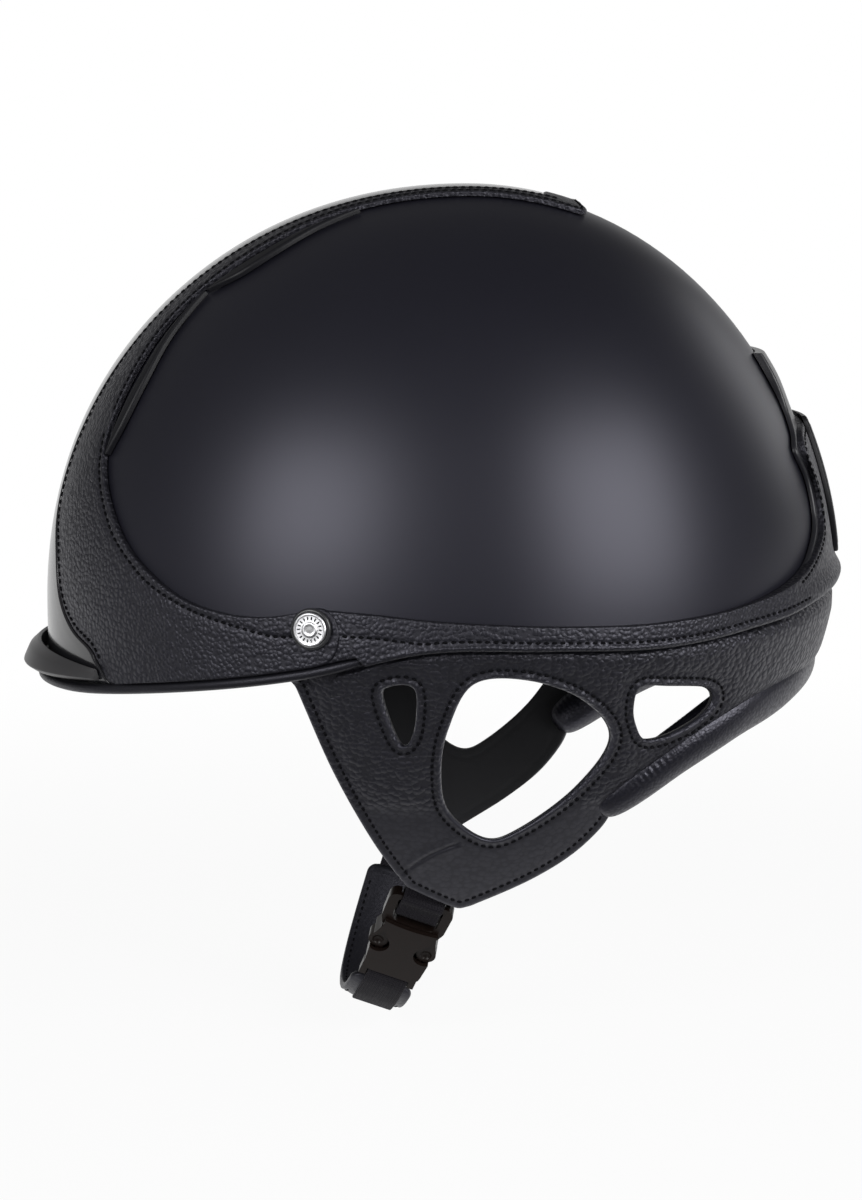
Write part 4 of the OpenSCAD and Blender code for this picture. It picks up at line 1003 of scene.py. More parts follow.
def new_geometry_tree(name, sizes):
    """Geometry tree with a geometry input, named sizes and a material; returns its sockets too."""
    tree = bpy.data.node_groups.new(name, "GeometryNodeTree")
    tree.interface.new_socket("Geometry", in_out="OUTPUT", socket_type="NodeSocketGeometry")
    tree.interface.new_socket("Geometry", in_out="INPUT", socket_type="NodeSocketGeometry")
    ids = {}
    for label, value in sizes:
        socket = tree.interface.new_socket(label, in_out="INPUT", socket_type="NodeSocketFloat")
        socket.default_value = value
        ids[label] = socket.identifier
    socket = tree.interface.new_socket("Material", in_out="INPUT",
                                       socket_type="NodeSocketMaterial")
    ids["Material"] = socket.identifier
    return tree, tree.nodes.new("NodeGroupInput"), tree.nodes.new("NodeGroupOutput"), ids


def finish_tree(tree, points, bead, turn, given, result):
    """Sets a bead on each point, turned as given, and gives all of them the material."""
    beads = node(tree, "GeometryNodeInstanceOnPoints", {"Points": points, "Instance": bead,
                 "Rotation": turn}).outputs[0]
    real = node(tree, "GeometryNodeRealizeInstances", {0: beads}).outputs[0]
    shown = node(tree, "GeometryNodeSetMaterial",
                 {"Geometry": real, "Material": given.outputs["Material"]})
    smooth = node(tree, "GeometryNodeSetShadeSmooth", {0: shown.outputs[0]})
    tree.links.new(smooth.outputs[0], result.inputs[0])


# %% The stitching tree
def stitching_tree():
    sizes = [("Pitch", 2.7 * MM), ("Length", 2.0 * MM), ("Thread", 0.32 * MM)]
    tree, given, result, ids = new_geometry_tree("stitching", sizes)
    seam = node(tree, "GeometryNodeMeshToCurve", {"Mesh": given.outputs["Geometry"]}).outputs[0]
    seam = node(tree, "GeometryNodeResampleCurve",
                {"Curve": seam, "Length": given.outputs["Pitch"]},
                mode="LENGTH").outputs[0]
    spots = node(tree, "GeometryNodeCurveToPoints", {"Curve": seam}, mode="EVALUATED")
    bead = bead_branch(tree, given.outputs["Length"], given.outputs["Thread"], 8)
    finish_tree(tree, spots.outputs["Points"], bead, spots.outputs["Rotation"], given, result)
    return tree, ids


# %% The pip tree: each point carries the direction it stands in
def pip_tree():
    tree, given, result, ids = new_geometry_tree("pips", [("Pip", 0.3 * MM), ("Stand", 0.36 * MM)])
    way = node(tree, "GeometryNodeInputNamedAttribute", {"Name": "stands"},
               data_type="FLOAT_VECTOR").outputs[0]
    turn = node(tree, "FunctionNodeAlignRotationToVector", {"Vector": way}, axis="Z").outputs[0]
    bead = bead_branch(tree, given.outputs["Stand"], given.outputs["Pip"], 8)
    finish_tree(tree, given.outputs["Geometry"], bead, turn, given, result)
    return tree, ids


STITCHING, PIPS = stitching_tree(), pip_tree()


def grown(name, mesh, tree_and_ids, sizes, material, body):
    """Runs a geometry tree on a mesh and keeps the result as a plain piece."""
    tree, ids = tree_and_ids
    obj = new_object(name, mesh)
    grow = obj.modifiers.new("grow", "NODES")
    grow.node_group = tree
    for label, value in sizes.items():
        grow[ids[label]] = value
    grow[ids["Material"]] = material
    made = evaluated_mesh(obj)
    bpy.data.objects.remove(obj)
    made.name = name
    add_piece(name, made, body, smooth=None)
    print(name, "faces", len(made.polygons))


def seam_mesh(lines):
    """Edge mesh of several lines of points in millimetres; a closed line ends on its start."""
    points, edges = [], []
    for line, closed in lines:
        n = len(points)
        count = len(line)
        points += (np.asarray(line) * MM).tolist()
        edges += [(n + k, n + (k + 1) % count) for k in range(count if closed else count - 1)]
    mesh = bpy.data.meshes.new("seams")
    mesh.from_pydata(points, edges, [])
    return mesh


# %% The rivet caps and their pips
points, ways = [], []
origin, along, up, n = wall_frame(*RIVET_AT, CAP_FOOT)
PIP_COUNT, PIP_RING, PIP_LIFT = 18, 3.65, 0.7
for k in range(PIP_COUNT):
    a = 2 * math.pi * k / PIP_COUNT
    spoke = math.cos(a) * along + math.sin(a) * up
    for side in (1, -1):
        points.append(((origin + PIP_RING * spoke + n * PIP_LIFT) * [side, 1, 1] * MM).tolist())
        ways.append(spoke * [side, 1, 1])
pip_points = bpy.data.meshes.new("pip points")
pip_points.from_pydata(points, [], [])
stands = pip_points.attributes.new("stands", "FLOAT_VECTOR", "POINT")
stands.data.foreach_set("vector", np.ravel(ways))
grown("rivet_cap_pips", pip_points, PIPS, {"Pip": 0.26 * MM, "Stand": 1.3 * MM}, RING, "helmet")
add_piece("rivet_caps_pressed", rivet_caps, "helmet", ["rivet_caps"], smooth=40)

# %% [markdown]
# ## The leather harness
# Each side panel is one cut piece of hide that leans in below the rim, with three openings. A
# cut outline with holes is what a constrained triangulation is for: the outline, its holes and
# rings of points beside every edge are laid out flat, joined into triangles, and then bent on
# to the leaning surface. The rings let each border be turned over and stitched.

# %% The leaning surface below the rim
LEAN, HARNESS_LEATHER, LINING_THICK = 0.33, 1.9, 1.2
SKIRT_FRONT = FRONT - 7
FLAT_STRETCH = 1.05
BACK_AZ = 179.9


def skirt_half_width(z):
    drop = np.maximum(0, -z)
    return HALF_WIDTH - WALL - LEAN * drop - 0.002 * drop ** 2


def skirt_rear(z):
    drop = np.maximum(0, -z)
    return REAR + 2.2 - 0.17 * drop - 0.0045 * drop ** 2


def skirt_point(az, z, depth):
    az, z, depth = np.broadcast_arrays(*(np.asarray(v, float) for v in (az, z, depth)))
    a = np.radians(az)
    along = np.where(np.cos(a) > 0, SKIRT_FRONT, skirt_rear(z))
    free = 1 / np.hypot(np.cos(a) / along, np.sin(a) / skirt_half_width(z))
    tucked = np.linalg.norm(wall_point(az, z, HARNESS_HIGH)[..., :2], axis=-1)
    r = mix(free, tucked, ease((z - shell_edge_z(az) + 7) / 6.5)) - depth
    return np.stack([r * np.sin(a), -r * np.cos(a), z], axis=-1)


def azimuth_of(yz):
    """(azimuth, height) of side-view points (y, z) on the harness."""
    y, z = yz[:, 0], yz[:, 1]
    along = np.where(y < 0, SKIRT_FRONT, skirt_rear(z))
    x = skirt_half_width(z) * np.sqrt(np.maximum(0, 1 - (y / along) ** 2))
    return np.stack([np.degrees(np.arctan2(x, -y)), z], axis=1)


def laid_flat(az_z):
    across = np.radians(az_z[:, 0] - 90) * skirt_half_width(az_z[:, 1]) * FLAT_STRETCH
    return np.stack([across, az_z[:, 1]], axis=1)


def flat_azimuth(flat):
    return 90 + np.degrees(flat[:, 0] / (skirt_half_width(flat[:, 1]) * FLAT_STRETCH))


def bent(flat, depth):
    return skirt_point(flat_azimuth(flat), flat[:, 1], depth)


# %% Outline and openings of a side panel
PANEL_EDGE = np.array([[-67, -4], [-62.2, -13.4], [-49.8, -44.2], [-36.2, -71.3], [-25.4, -88.2],
    [-23.2, -90.6], [-8, -98.9], [-3, -98.9], [2, -96.6], [19.7, -87.4], [33, -78.1],
    [42.4, -67.8], [46, -60]], float)
EAR_HOLE = [[-12, -28], [-4, -11.5], [14, -10.5], [33, -18.5], [43.5, -33], [33, -51], [14, -66.5],
    [2, -70], [-11, -59], [-14, -44]]
FRONT_HOLE = [[-34, -16], [-31.5, -12.6], [-25.5, -12], [-22.7, -15.5], [-23.2, -28], [-26, -34],
    [-29.5, -30]]
REAR_HOLE = [[50, -22], [52, -15], [62, -15.4], [76, -17.6], [79.6, -22.5], [75, -28.6],
    [64, -33.8], [55, -34.4], [51.4, -29]]
NAPE_LINE = np.array([[119.5, -61], [127, -51.3], [135, -40.5], [143.5, -31.5], [151, -26.6],
    [160, -24], [170, -23.2], [BACK_AZ, -23]], float)
OUTLINE_STEP = 1.1
front_edge = azimuth_of(even_line(line_at(PANEL_EDGE, np.linspace(0, 12, 200)), OUTLINE_STEP))
nape_edge = line_at(NAPE_LINE, np.linspace(1, 7, 90))
top_az = np.linspace(BACK_AZ, 60, 100)
top_edge = np.stack([top_az, shell_edge_z(top_az) + 8], axis=1)
back_z = np.linspace(NAPE_LINE[-1, 1], top_edge[0, 1], 30)
back_edge = np.stack([0 * back_z + BACK_AZ, back_z], axis=1)
outline = even_line(laid_flat(np.vstack([front_edge, nape_edge, back_edge, top_edge])),
                    OUTLINE_STEP, closed=True)
holes = [even_line(laid_flat(azimuth_of(closed_line(h, 16))), OUTLINE_STEP, closed=True)
         for h in (EAR_HOLE, FRONT_HOLE, REAR_HOLE)]


# %% Laying out a cut piece with rings beside its edges
def inside(points, loop):
    x, y = points[:, :1], points[:, 1:]
    a, b = loop, np.roll(loop, -1, axis=0)
    between = (a[:, 1] > y) != (b[:, 1] > y)
    at = a[:, 0] + (y - a[:, 1]) * (b[:, 0] - a[:, 0]) / (b[:, 1] - a[:, 1] + 1e-12)
    return (between & (x < at)).sum(1) % 2 == 1


def gap_to(points, loop, closed=True):
    """Distance from each flat point to a line."""
    a = loop if closed else loop[:-1]
    b = np.roll(loop, -1, axis=0) if closed else loop[1:]
    best = np.full(len(points), 1e9)
    way = b - a
    for k in range(0, len(points), 3000):
        rel = points[k:k + 3000, None] - a[None]
        t = np.clip((rel * way).sum(-1) / np.maximum((way ** 2).sum(-1), 1e-9), 0, 1)
        best[k:k + 3000] = np.linalg.norm(rel - t[..., None] * way, axis=-1).min(1)
    return best


def set_in(loop, distance, closed=True):
    """Line beside a loop, to its left side."""
    way = np.roll(loop, -1, axis=0) - np.roll(loop, 1, axis=0)
    if not closed:
        way[0], way[-1] = loop[1] - loop[0], loop[-1] - loop[-2]
    way = way / np.maximum(np.linalg.norm(way, axis=1, keepdims=True), 1e-9)
    moved = loop + np.stack([-way[:, 1], way[:, 0]], axis=1) * distance
    return moved[gap_to(moved, loop, closed) > abs(distance) - 0.06]


def area(loop):
    nxt = np.roll(loop, -1, axis=0)
    return (loop[:, 0] * nxt[:, 1] - nxt[:, 0] * loop[:, 1]).sum() / 2


def counter_clockwise(loop):
    return loop if area(loop) > 0 else loop[::-1]


def below_edge(flat):
    """How far flat points lie below the band's lower edge."""
    return edge_z(flat_azimuth(flat)) - flat[:, 1]


def on_panel(points):
    """Which flat points lie on the leather: inside the outline and in no opening."""
    return inside(points, outline) & ~np.any([inside(points, hole) for hole in holes], axis=0)


def gap_to_edges(points):
    return np.min([gap_to(points, loop) for loop in loops], axis=0)


FOLD = laid_flat(azimuth_of(np.array([[-27.5, -85.8], [-21, -80], [-15.5, -75.9], [-9, -72.6]])))
EDGE_RINGS = [0.12, 0.4, 0.8, 1.25, 1.75, 2.3, 2.8, 3.2, 3.8, 4.6]
BAND_ROWS = (-1.2, -0.5, 0, 0.4, 0.8, 1.2, 1.7, 2.4)
FOLD_ROWS = (-1.8, -1.2, -0.8, -0.4, 0, 0.4, 0.8, 1.2, 1.8)
GRID_STEP = (2.2, 1.9)
outline = counter_clockwise(outline)
holes = [counter_clockwise(h)[::-1] for h in holes]
loops = [outline] + holes
fixed, edges = [], []
for loop in loops:
    n = sum(len(s) for s in fixed)
    fixed.append(loop)
    edges += [(n + k, n + (k + 1) % len(loop)) for k in range(len(loop))]
beside_edges = []
for distance in EDGE_RINGS:
    for loop in loops:
        ring = set_in(loop, distance)
        beside_edges.append(ring[gap_to_edges(ring) > distance - 0.08])
row_az = np.linspace(64, 179, 260)
fold_line = even_line(line_at(FOLD, np.linspace(0, 3, 40)), 0.8)
rows = [laid_flat(np.stack([row_az, edge_z(row_az) - drop], axis=1)) for drop in BAND_ROWS]
rows += [set_in(fold_line, distance + 0.001, closed=False) for distance in FOLD_ROWS]
rows = np.vstack(rows)
rows = rows[on_panel(rows)]
rows = rows[gap_to_edges(rows) > 4.9]
low, high = outline.min(0), outline.max(0)
gx, gy = np.meshgrid(np.arange(low[0], high[0], GRID_STEP[0]),
                     np.arange(low[1], high[1], GRID_STEP[1]))
gx = gx + (np.arange(gx.shape[0]) % 2)[:, None] * GRID_STEP[0] / 2
grid = np.stack([gx.ravel(), gy.ravel()], axis=1)
grid = grid[on_panel(grid)]
near_row = np.abs(below_edge(grid) - 0.6) < 2.8
grid = grid[~near_row & (gap_to(grid, fold_line, closed=False) > 2.8)]
grid = grid[gap_to_edges(grid) > 5.3]
everything = np.vstack(fixed + beside_edges + [rows, grid]).tolist()
verts, _, tris, *_ = delaunay_2d_cdt([Vector(p) for p in everything], edges, [], 0, 1e-4)
flat = np.array([tuple(v) for v in verts])
tris = np.array([t for t in tris])
tris = tris[on_panel(flat[tris].mean(1))]
print("panel triangles", len(tris))

# %% Bending the cut piece into leather and lining
SEAM_INSET, SEAM_LIFT = 3.0, 0.12
to_hole = np.min([gap_to(flat, hole) for hole in holes], axis=0)
to_outline = gap_to(flat, outline)
to_edge = np.minimum(to_hole, to_outline)
to_fold = gap_to(flat, fold_line, closed=False)
padded = ease((flat[:, 1] + 61) / 7)
relief = (0.42 * bell(to_hole, 1.0, 0.62) - 0.22 * bell(to_edge, SEAM_INSET, 0.7)
          + 0.18 * bell(to_outline, 1.1, 0.8) - edge_drop(to_edge, 0.8)
          - 0.5 * bell(to_fold, 0, 0.5) + 0.3 * bell(to_fold, 1.5, 0.9)
          + 0.9 * padded * ease((to_edge - 3) / 6)
          - 1.7 * bell(below_edge(flat), 0.8, 0.75) * ease((to_edge - 2) / 2))


def cut_solid(triangles, top, low):
    """Closed solid from a triangulation and its two faces."""
    n = len(top)
    pairs = np.vstack([triangles[:, [0, 1]], triangles[:, [1, 2]], triangles[:, [2, 0]]])
    key = np.sort(pairs, axis=1)
    _, first, count = np.unique(key, axis=0, return_index=True, return_counts=True)
    rim = pairs[first[count == 1]]
    faces = triangles.tolist() + (triangles[:, ::-1] + n).tolist()
    faces += [[b, a, a + n, b + n] for a, b in rim.tolist()]
    return np.vstack([top, low]), faces


panel = cut_solid(tris, bent(flat, -relief), bent(flat, HARNESS_LEATHER))
lining_low = (HARNESS_LEATHER + FIT + LINING_THICK - edge_drop(to_edge, 0.6)
              - 0.25 * bell(to_edge, SEAM_INSET, 0.7))
lining = cut_solid(tris, bent(flat, HARNESS_LEATHER + FIT), bent(flat, lining_low))
for side, flip in SIDES:
    for kind, (points, faces), material, slot, edge in (
            ("harness", panel, PANEL_HIDE, "harness_leather", [to_edge, 0 * to_edge]),
            ("harness_lining", lining, LINING, "harness_lining", [0 * to_edge, to_edge])):
        mesh = make_mesh(kind, points * [flip, 1, 1], faces, np.concatenate(edge), material)
        share = [float(0.12 + 0.88 * ease((v.co.z / MM + 62) / 9)) for v in mesh.vertices]
        mesh.attributes.new("grain_share", "FLOAT", "POINT").data.foreach_set("value", share)
        add_piece(f"{kind}_{side}_cut", mesh, "helmet", [f"{kind}_{side}"], smooth=70)

# %% Seams of the harness
harness_seams = [(bent(set_in(hole, SEAM_INSET), SEAM_LIFT), True) for hole in holes]
border = set_in(outline, SEAM_INSET)
shown = (gap_to(border, laid_flat(front_edge), closed=False) < 3.4) & (border[:, 1] < -9)
start = int(np.argmax(~shown))
border, shown = np.roll(border, -start, axis=0), np.roll(shown, -start)
harness_seams.append((bent(border[shown], SEAM_LIFT), False))

# %% [markdown]
# ## The padded nape roll
# The roll is stuffed leather sewn round the harness's lower edge. It is a tube along the nape
# line, slimmer at its two ends and at the very back, where it also sits higher. Its skin
# gathers into fine folds along both seams near the ends.

# %% The nape roll
NAPE_RADIUS, NAPE_END_RADIUS, NAPE_FLAT, NAPE_PROUD = 9.8, 7.4, 0.86, 2.3
NAPE_PLAN = np.vstack([NAPE_LINE[:-1], [180, -23]])


def at_back(t):
    return ease((0.5 - np.abs(t)) / 0.4)


def nape_half(t):
    return mix(NAPE_END_RADIUS, NAPE_RADIUS, ease(1.3 * (1 - np.abs(t)))) - 2 * at_back(t)


def nape_at(t, rise=0.0, depth=1.0):
    p = line_at(NAPE_PLAN, (len(NAPE_PLAN) - 1) * (1 - np.abs(t)))
    proud = NAPE_PROUD * (1 - 0.7 * at_back(t))
    q = skirt_point(p[:, 0], p[:, 1] + rise + 2 * at_back(t),
                    depth * (NAPE_FLAT * nape_half(t) - proud))
    return q * np.stack([np.where(t < 0, -1, 1), 0 * t + 1, 0 * t + 1], axis=1)


nape_t = np.sin(np.radians(np.linspace(-90, 90, 901)))
nape_p = nape_at(nape_t)
nape_way = nape_at(np.minimum(1, nape_t + 0.02)) - nape_at(np.maximum(-1, nape_t - 0.02))
nape_side = unit(np.cross(nape_way, nape_at(nape_t, 3, 0.0) - nape_at(nape_t, -3, 0.0)))
nape_up = unit(np.cross(nape_side, nape_way))
nape_r = nape_half(nape_t) * np.sqrt(np.maximum(0.004, 1 - np.abs(nape_t) ** 24))
a = round_angles(48)
c = np.cos(a)
run = run_along(nape_p)[:, None]
near_seam = bell(a, 0.72, 0.5) + bell(a, 2.42, 0.5)
gathered = (ease((np.abs(nape_t) - 0.62) / 0.12) * ease((0.97 - np.abs(nape_t)) / 0.08))[:, None]
folds = 0.09 * near_seam[None] * gathered * np.sin(run / 0.31 + 2 * np.sin(run / 5))
folds = folds * (1 + np.sin(run / 3.7))
folds = folds + 0.1 * np.sin(run / 6.5 + 1.3 * np.sin(run / 31) + 1.4 * np.sin(a)[None])
puff = (1 + folds / 9)[..., None]
flat_side = (NAPE_FLAT * nape_r)[:, None] * (np.sign(c) * np.abs(c) ** 0.72)[None]
tall_side = nape_r[:, None] * np.sin(a)[None]
section = nape_side[:, None] * flat_side[..., None] + nape_up[:, None] * tall_side[..., None]
rings = nape_p[:, None] + puff * section
nape = add_solid("nape_roll_stuffed", tube_solid(rings), NAPE_HIDE, "nape_roll",
                 smooth=80)

# %% [markdown]
# ## The comfort pads
# The pads are foam in knitted fabric. The swelling is capped, and a pad stays flat where it
# lies on the liner.


# %% A pad that swells
PAD_CELL, PAD_FRAMES = 3.2, 20


def settle(pad):
    pad.data = evaluated_mesh(pad)
    pad.modifiers.clear()


def puffed(name, points, faces, cap):
    """Mesh of a pad; cap is how far its skin may swell, in millimetres."""
    pad = new_object(name, make_mesh(name, points, faces, merge=1e-5))
    even = pad.modifiers.new("even", "REMESH")
    even.mode, even.voxel_size = "VOXEL", PAD_CELL * MM
    settle(pad)
    before = np.array([v.co[:] for v in pad.data.vertices])
    cloth = pad.modifiers.new("cloth", "CLOTH")
    cloth.settings.use_pressure = True
    cloth.settings.uniform_pressure_force = 4.0
    cloth.settings.effector_weights.gravity = 0.0
    cloth.settings.quality = 4
    cloth.point_cache.frame_start, cloth.point_cache.frame_end = 1, PAD_FRAMES
    for frame_number in range(1, PAD_FRAMES + 1):
        bpy.context.scene.frame_set(frame_number)
    settle(pad)
    bpy.context.scene.frame_set(1)
    moved = np.array([v.co[:] for v in pad.data.vertices]) - before
    far = np.maximum(1, np.linalg.norm(moved, axis=1, keepdims=True) / (cap * MM))
    before = before + moved / far
    outer = seat(before / MM, PAD_HIGH + 0.15) * MM
    over = np.linalg.norm(before, axis=1) > np.linalg.norm(outer, axis=1)
    before[over] = outer[over]
    pad.data.vertices.foreach_set("co", before.astype(np.float32).ravel())
    soft = pad.modifiers.new("soft", "SUBSURF")
    soft.levels = soft.render_levels = 1
    settle(pad)
    made = pad.data
    bpy.data.objects.remove(pad)
    made.materials.clear()
    made.materials.append(KNIT)
    return made


def add_pad(node_name, points, faces, cap=2.2):
    name = f"{node_name}_soft"
    pad = add_piece(name, puffed(name, points, faces, cap), "helmet", [node_name],
                    smooth=80)


def wall_pad(az_a, az_b, lift_low, lift_high, thick=9.0, thin=3.6):
    """Form of a pad on the liner's wall, between two azimuths and two lifts over the edge."""
    u = np.sin(np.radians(np.linspace(-90, 90, 49)))[:, None]
    v = np.sin(np.radians(np.linspace(-90, 90, 17)))[None]
    az = mix(az_a, az_b, (u + 1) / 2)
    pull = 2.5 * (1 - u * u) + 5 * np.abs(u) ** 12
    low = shell_edge_z(az) + lift_low + pull * 0.6
    high = shell_edge_z(az) + lift_high - pull
    z = mix(low, high, (v + 1) / 2)
    fall = thin + (thick - thin) * np.sqrt(np.maximum(0, (1 - u * u) * (1 - v * v)))
    az = np.broadcast_to(az, z.shape)
    return sheet_solid(wall_point(az, z, PAD_HIGH), wall_point(az, z, PAD_HIGH - fall + 0.8))


for node_name, span, flip in (
        ("brow_pad", (-48, 48, 6, 50), 1), ("rear_pad", (124, 236, 14, 50), 1),
        ("side_pad_left", (54, 118, 17, 52), 1), ("side_pad_right", (54, 118, 17, 52), -1)):
    points, faces = wall_pad(*span)
    add_pad(node_name, points * [flip, 1, 1], faces)

# %% The crown pad: a disc of six shallow petals
a = round_angles(96)
k = np.linspace(1, 0.02, 20)[:, None]
r = 40 * k * (1 + 0.09 * k * np.cos(6 * a)[None])
top_z = HEIGHT + PAD_HIGH
spots = np.stack([r * np.sin(a), -r * np.cos(a), np.sqrt(top_z ** 2 - r ** 2)], axis=-1)
thick = 4 + 5 * np.sqrt(1 - k ** 2) * (0.86 + 0.14 * np.cos(3 * a)[None] ** 2)
crown = np.concatenate([seat(spots[::-1], PAD_HIGH), seat(spots, PAD_HIGH - thick)])
add_pad("crown_pad", *tube_solid(crown), cap=1.8)

# %% [markdown]
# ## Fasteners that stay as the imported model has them
# Posts, washers, screws and the pads' discs are plain turned parts. Their CAD meshes only get a
# finish.

# %% Finishes on the plain parts
for node_name, material in (("rivet_posts", STEEL), ("rivet_washers", STEEL),
                            ("harness_screws", STEEL), ("pad_discs", KNIT)):
    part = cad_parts[node_name]
    part.data.materials.clear()
    part.data.materials.append(material)
    smooth_by_angle(part.data, 30)

# %% [markdown]
# ## The chin strap
# The strap hangs in a plane of its own, tilted back from the cheeks' tips. The webbing is
# modelled as tape: a thin section with soft edges swept along its path, with a map in
# millimetres along and across it for the weave.

# %% The strap's plane and the buckle's place in it
TILT, PIVOT = math.radians(20), (-15.8, -92.0)
BUCKLE_TOP, BUCKLE_WAY = np.array([51.3, 5.0]), np.array([-0.5, 0.866])
WEB_WIDTH, WEB_THICK, WRAP = 15.0, 1.4, 1.9
LADDER_BAR, LADDER_LENGTH, FEMALE_LENGTH = (5.4, 8.2), 15.0, 22.0
FEMALE_START = LADDER_LENGTH + FIT
TAIL_BAR = FEMALE_START + FEMALE_LENGTH + 3.9
NEAR_OUTER, NEAR_INNER = [[56, -3.6], [53.8, 0]], [[51.6, 0.4], [53.4, -2.6]]
CHIN = [[22.3, 48.3], [16.3, 52.6], [9, 55.4], [0, 56.5], [-9, 55.2], [-17.5, 51], [-25.5, 44.4],
    [-32.6, 35.8], [-38.4, 26.8], [-43, 18.5], [-47.3, 10.5], [-51, 4.5], [-53.8, 0], [-56, -3.6]]


def in_strap(points):
    """Place of points given as across, down along the tilted strap, and towards the back."""
    x, y, z = np.moveaxis(np.asarray(points, float), -1, 0)
    return np.stack([x, math.cos(TILT) * z - math.sin(TILT) * y + PIVOT[0],
                     PIVOT[1] - math.cos(TILT) * y - math.sin(TILT) * z], axis=-1)


def on_buckle(points):
    """Place of points given as towards the face, down along the buckle, and outwards."""
    x, y, z = np.moveaxis(np.asarray(points, float), -1, 0)
    across = BUCKLE_TOP[0] + BUCKLE_WAY[0] * y + BUCKLE_WAY[1] * z
    down = BUCKLE_TOP[1] + BUCKLE_WAY[1] * y - BUCKLE_WAY[0] * z
    return in_strap(np.stack([across, down, -x], axis=-1))


def by_buckle(y, out):
    return (BUCKLE_TOP + BUCKLE_WAY * y + np.array([BUCKLE_WAY[1], -BUCKLE_WAY[0]]) * out).tolist()


def wrapped(bar, way):
    """Half turn of webbing round a bar at a distance along the buckle."""
    return [by_buckle(bar + way * WRAP * math.sin(a), WRAP * math.cos(a))
            for a in np.radians(range(0, 181, 30))]


def tape_section(width, thick, bulge=0.0, flat=0.0):
    """Outline of a flat tape: across and out, with rounded edges and a raised middle."""
    w, h = width / 2, thick / 2
    r = min(h * 0.95, 0.6)
    xs = np.linspace(-w + r, w - r, 27)
    rise = h - bulge * np.clip(np.abs(xs) / (w - flat), 0, 1) ** 4
    turn = np.radians(np.linspace(90, -90, 9)[1:-1])
    end = np.stack([w - r + r * np.cos(turn), np.sin(turn) * rise[-1]], axis=1)
    upper = np.stack([xs, rise], axis=1)
    return np.vstack([upper, end, (upper * [1, -1])[::-1], (end * [-1, 1])[::-1]])


def tape(name, path, section, material, bulky=None, corner=0.0):
    """Tape along a path in the strap's plane, with its own map in millimetres. bulky is its
    thickness along the path and corner the radius of its ends' corners."""
    path = np.asarray(path, float)
    way = unit(np.gradient(path, axis=0))
    out = np.stack([way[:, 1], -way[:, 0]], axis=1)
    run = run_along(path)
    size = np.ones(len(path)) if bulky is None else bulky
    flat = path[:, None] + out[:, None] * (section[None, :, 1] * size[:, None])[..., None]
    from_end = np.minimum(run, run[-1] - run) + 0.02
    narrow = np.ones(len(path))
    if corner:
        narrow = np.sqrt(1 - np.clip(1 - from_end / corner, 0, 1) ** 2)
    half = section[:, 0].max()
    across = section[None, :, 0] * ((half - corner * (1 - narrow)) / half)[:, None]
    rings = in_strap(np.concatenate([flat, across[..., None]], axis=-1))
    points, faces = tube_solid(rings)
    mesh = make_mesh(name, points, faces, material=material, merge=0)
    at = np.stack([across.ravel(), np.repeat(run, len(section))], axis=1)
    ids = np.zeros(len(mesh.loops), int)
    mesh.loops.foreach_get("vertex_index", ids)
    mesh.uv_layers.new(name="tape").data.foreach_set("uv", at[ids].astype(np.float32).ravel())
    return mesh


def part_of(points, start, end, spacing=0.5):
    return even_line(line_at(points, np.linspace(start, end, 600)), spacing)


# %% The loop of webbing at the near cheek
web = tape_section(WEB_WIDTH, WEB_THICK)
over_bar = ((-1.8, 1.2), (-0.3, 3.1), (1.2, 3.3), (2.5, 2.5), (5, WRAP))
loop = NEAR_OUTER + [by_buckle(y, out) for y, out in over_bar] + wrapped(LADDER_BAR[1] - 0.5, 1)
loop += [by_buckle(4, -WRAP - 0.4), by_buckle(0, -WRAP - 0.9)] + NEAR_INNER
NEAR_BEND = ("helmet", "chin_strap", in_strap([54.6, -2.5, 0]), in_strap([52, 4.5, 0]))
FAR_BEND = ("chin_strap", "helmet", in_strap([-51.5, 5, 0]), in_strap([-54.6, -2.5, 0]))
SLACK = ("buckle_socket", "chin_strap", in_strap([24.5, 50, 0]), in_strap([-18, 50.6, 0]))


def add_webbing(name, path, body, node_name):
    add_piece(name, tape(name, path, web, TAPE), body, [node_name], smooth=60)


add_webbing("buckle_webbing_loop", part_of(loop, 0, len(loop) - 1), NEAR_BEND, "buckle_webbing")

# %% The chin webbing, from its turn round the tail bar to the far cheek
chin_way = [by_buckle(TAIL_BAR + 3.3, -WRAP - 0.15)] + CHIN
turn = [[17.6, 55.6], [24.4, 51], by_buckle(TAIL_BAR + 3.7, WRAP)] + wrapped(TAIL_BAR - 0.9, -1)
SPLIT = 6.2
near_part = np.vstack([part_of(turn + chin_way[:1], 0, len(turn)),
                       part_of(chin_way, 0, SPLIT)[1:]])
far_part = part_of(chin_way, SPLIT, len(chin_way) - 1)
add_webbing("chin_webbing_near", near_part, SLACK, "chin_webbing")
add_webbing("chin_webbing_far", far_part, FAR_BEND, "chin_webbing")

# %% The leather sleeve, sewn along both edges
SLEEVE_WIDTH, SLEEVE_THICK, SLEEVE_ENDS = 23.0, 4.6, (0.35, 9.8)
SLEEVE_STEP = 0.6
sleeve_path = part_of(chin_way, *SLEEVE_ENDS, spacing=SLEEVE_STEP)
run = np.arange(len(sleeve_path)) * SLEEVE_STEP
from_end = np.minimum(run, run[-1] - run)
section = tape_section(SLEEVE_WIDTH, SLEEVE_THICK, bulge=1.1, flat=2.0)
bulk = 1 - 0.06 * bell(from_end, 2.6, 0.7) - 0.5 * bell(from_end, 0, 1.0)
sleeve = tape("chin_sleeve_sewn", sleeve_path, section, SOFT_HIDE, bulk, corner=4.0)
add_piece("chin_sleeve_sewn", sleeve, SLACK, ["chin_sleeve"], smooth=60)
sleeve_seams = []
way = unit(np.gradient(sleeve_path, axis=0))
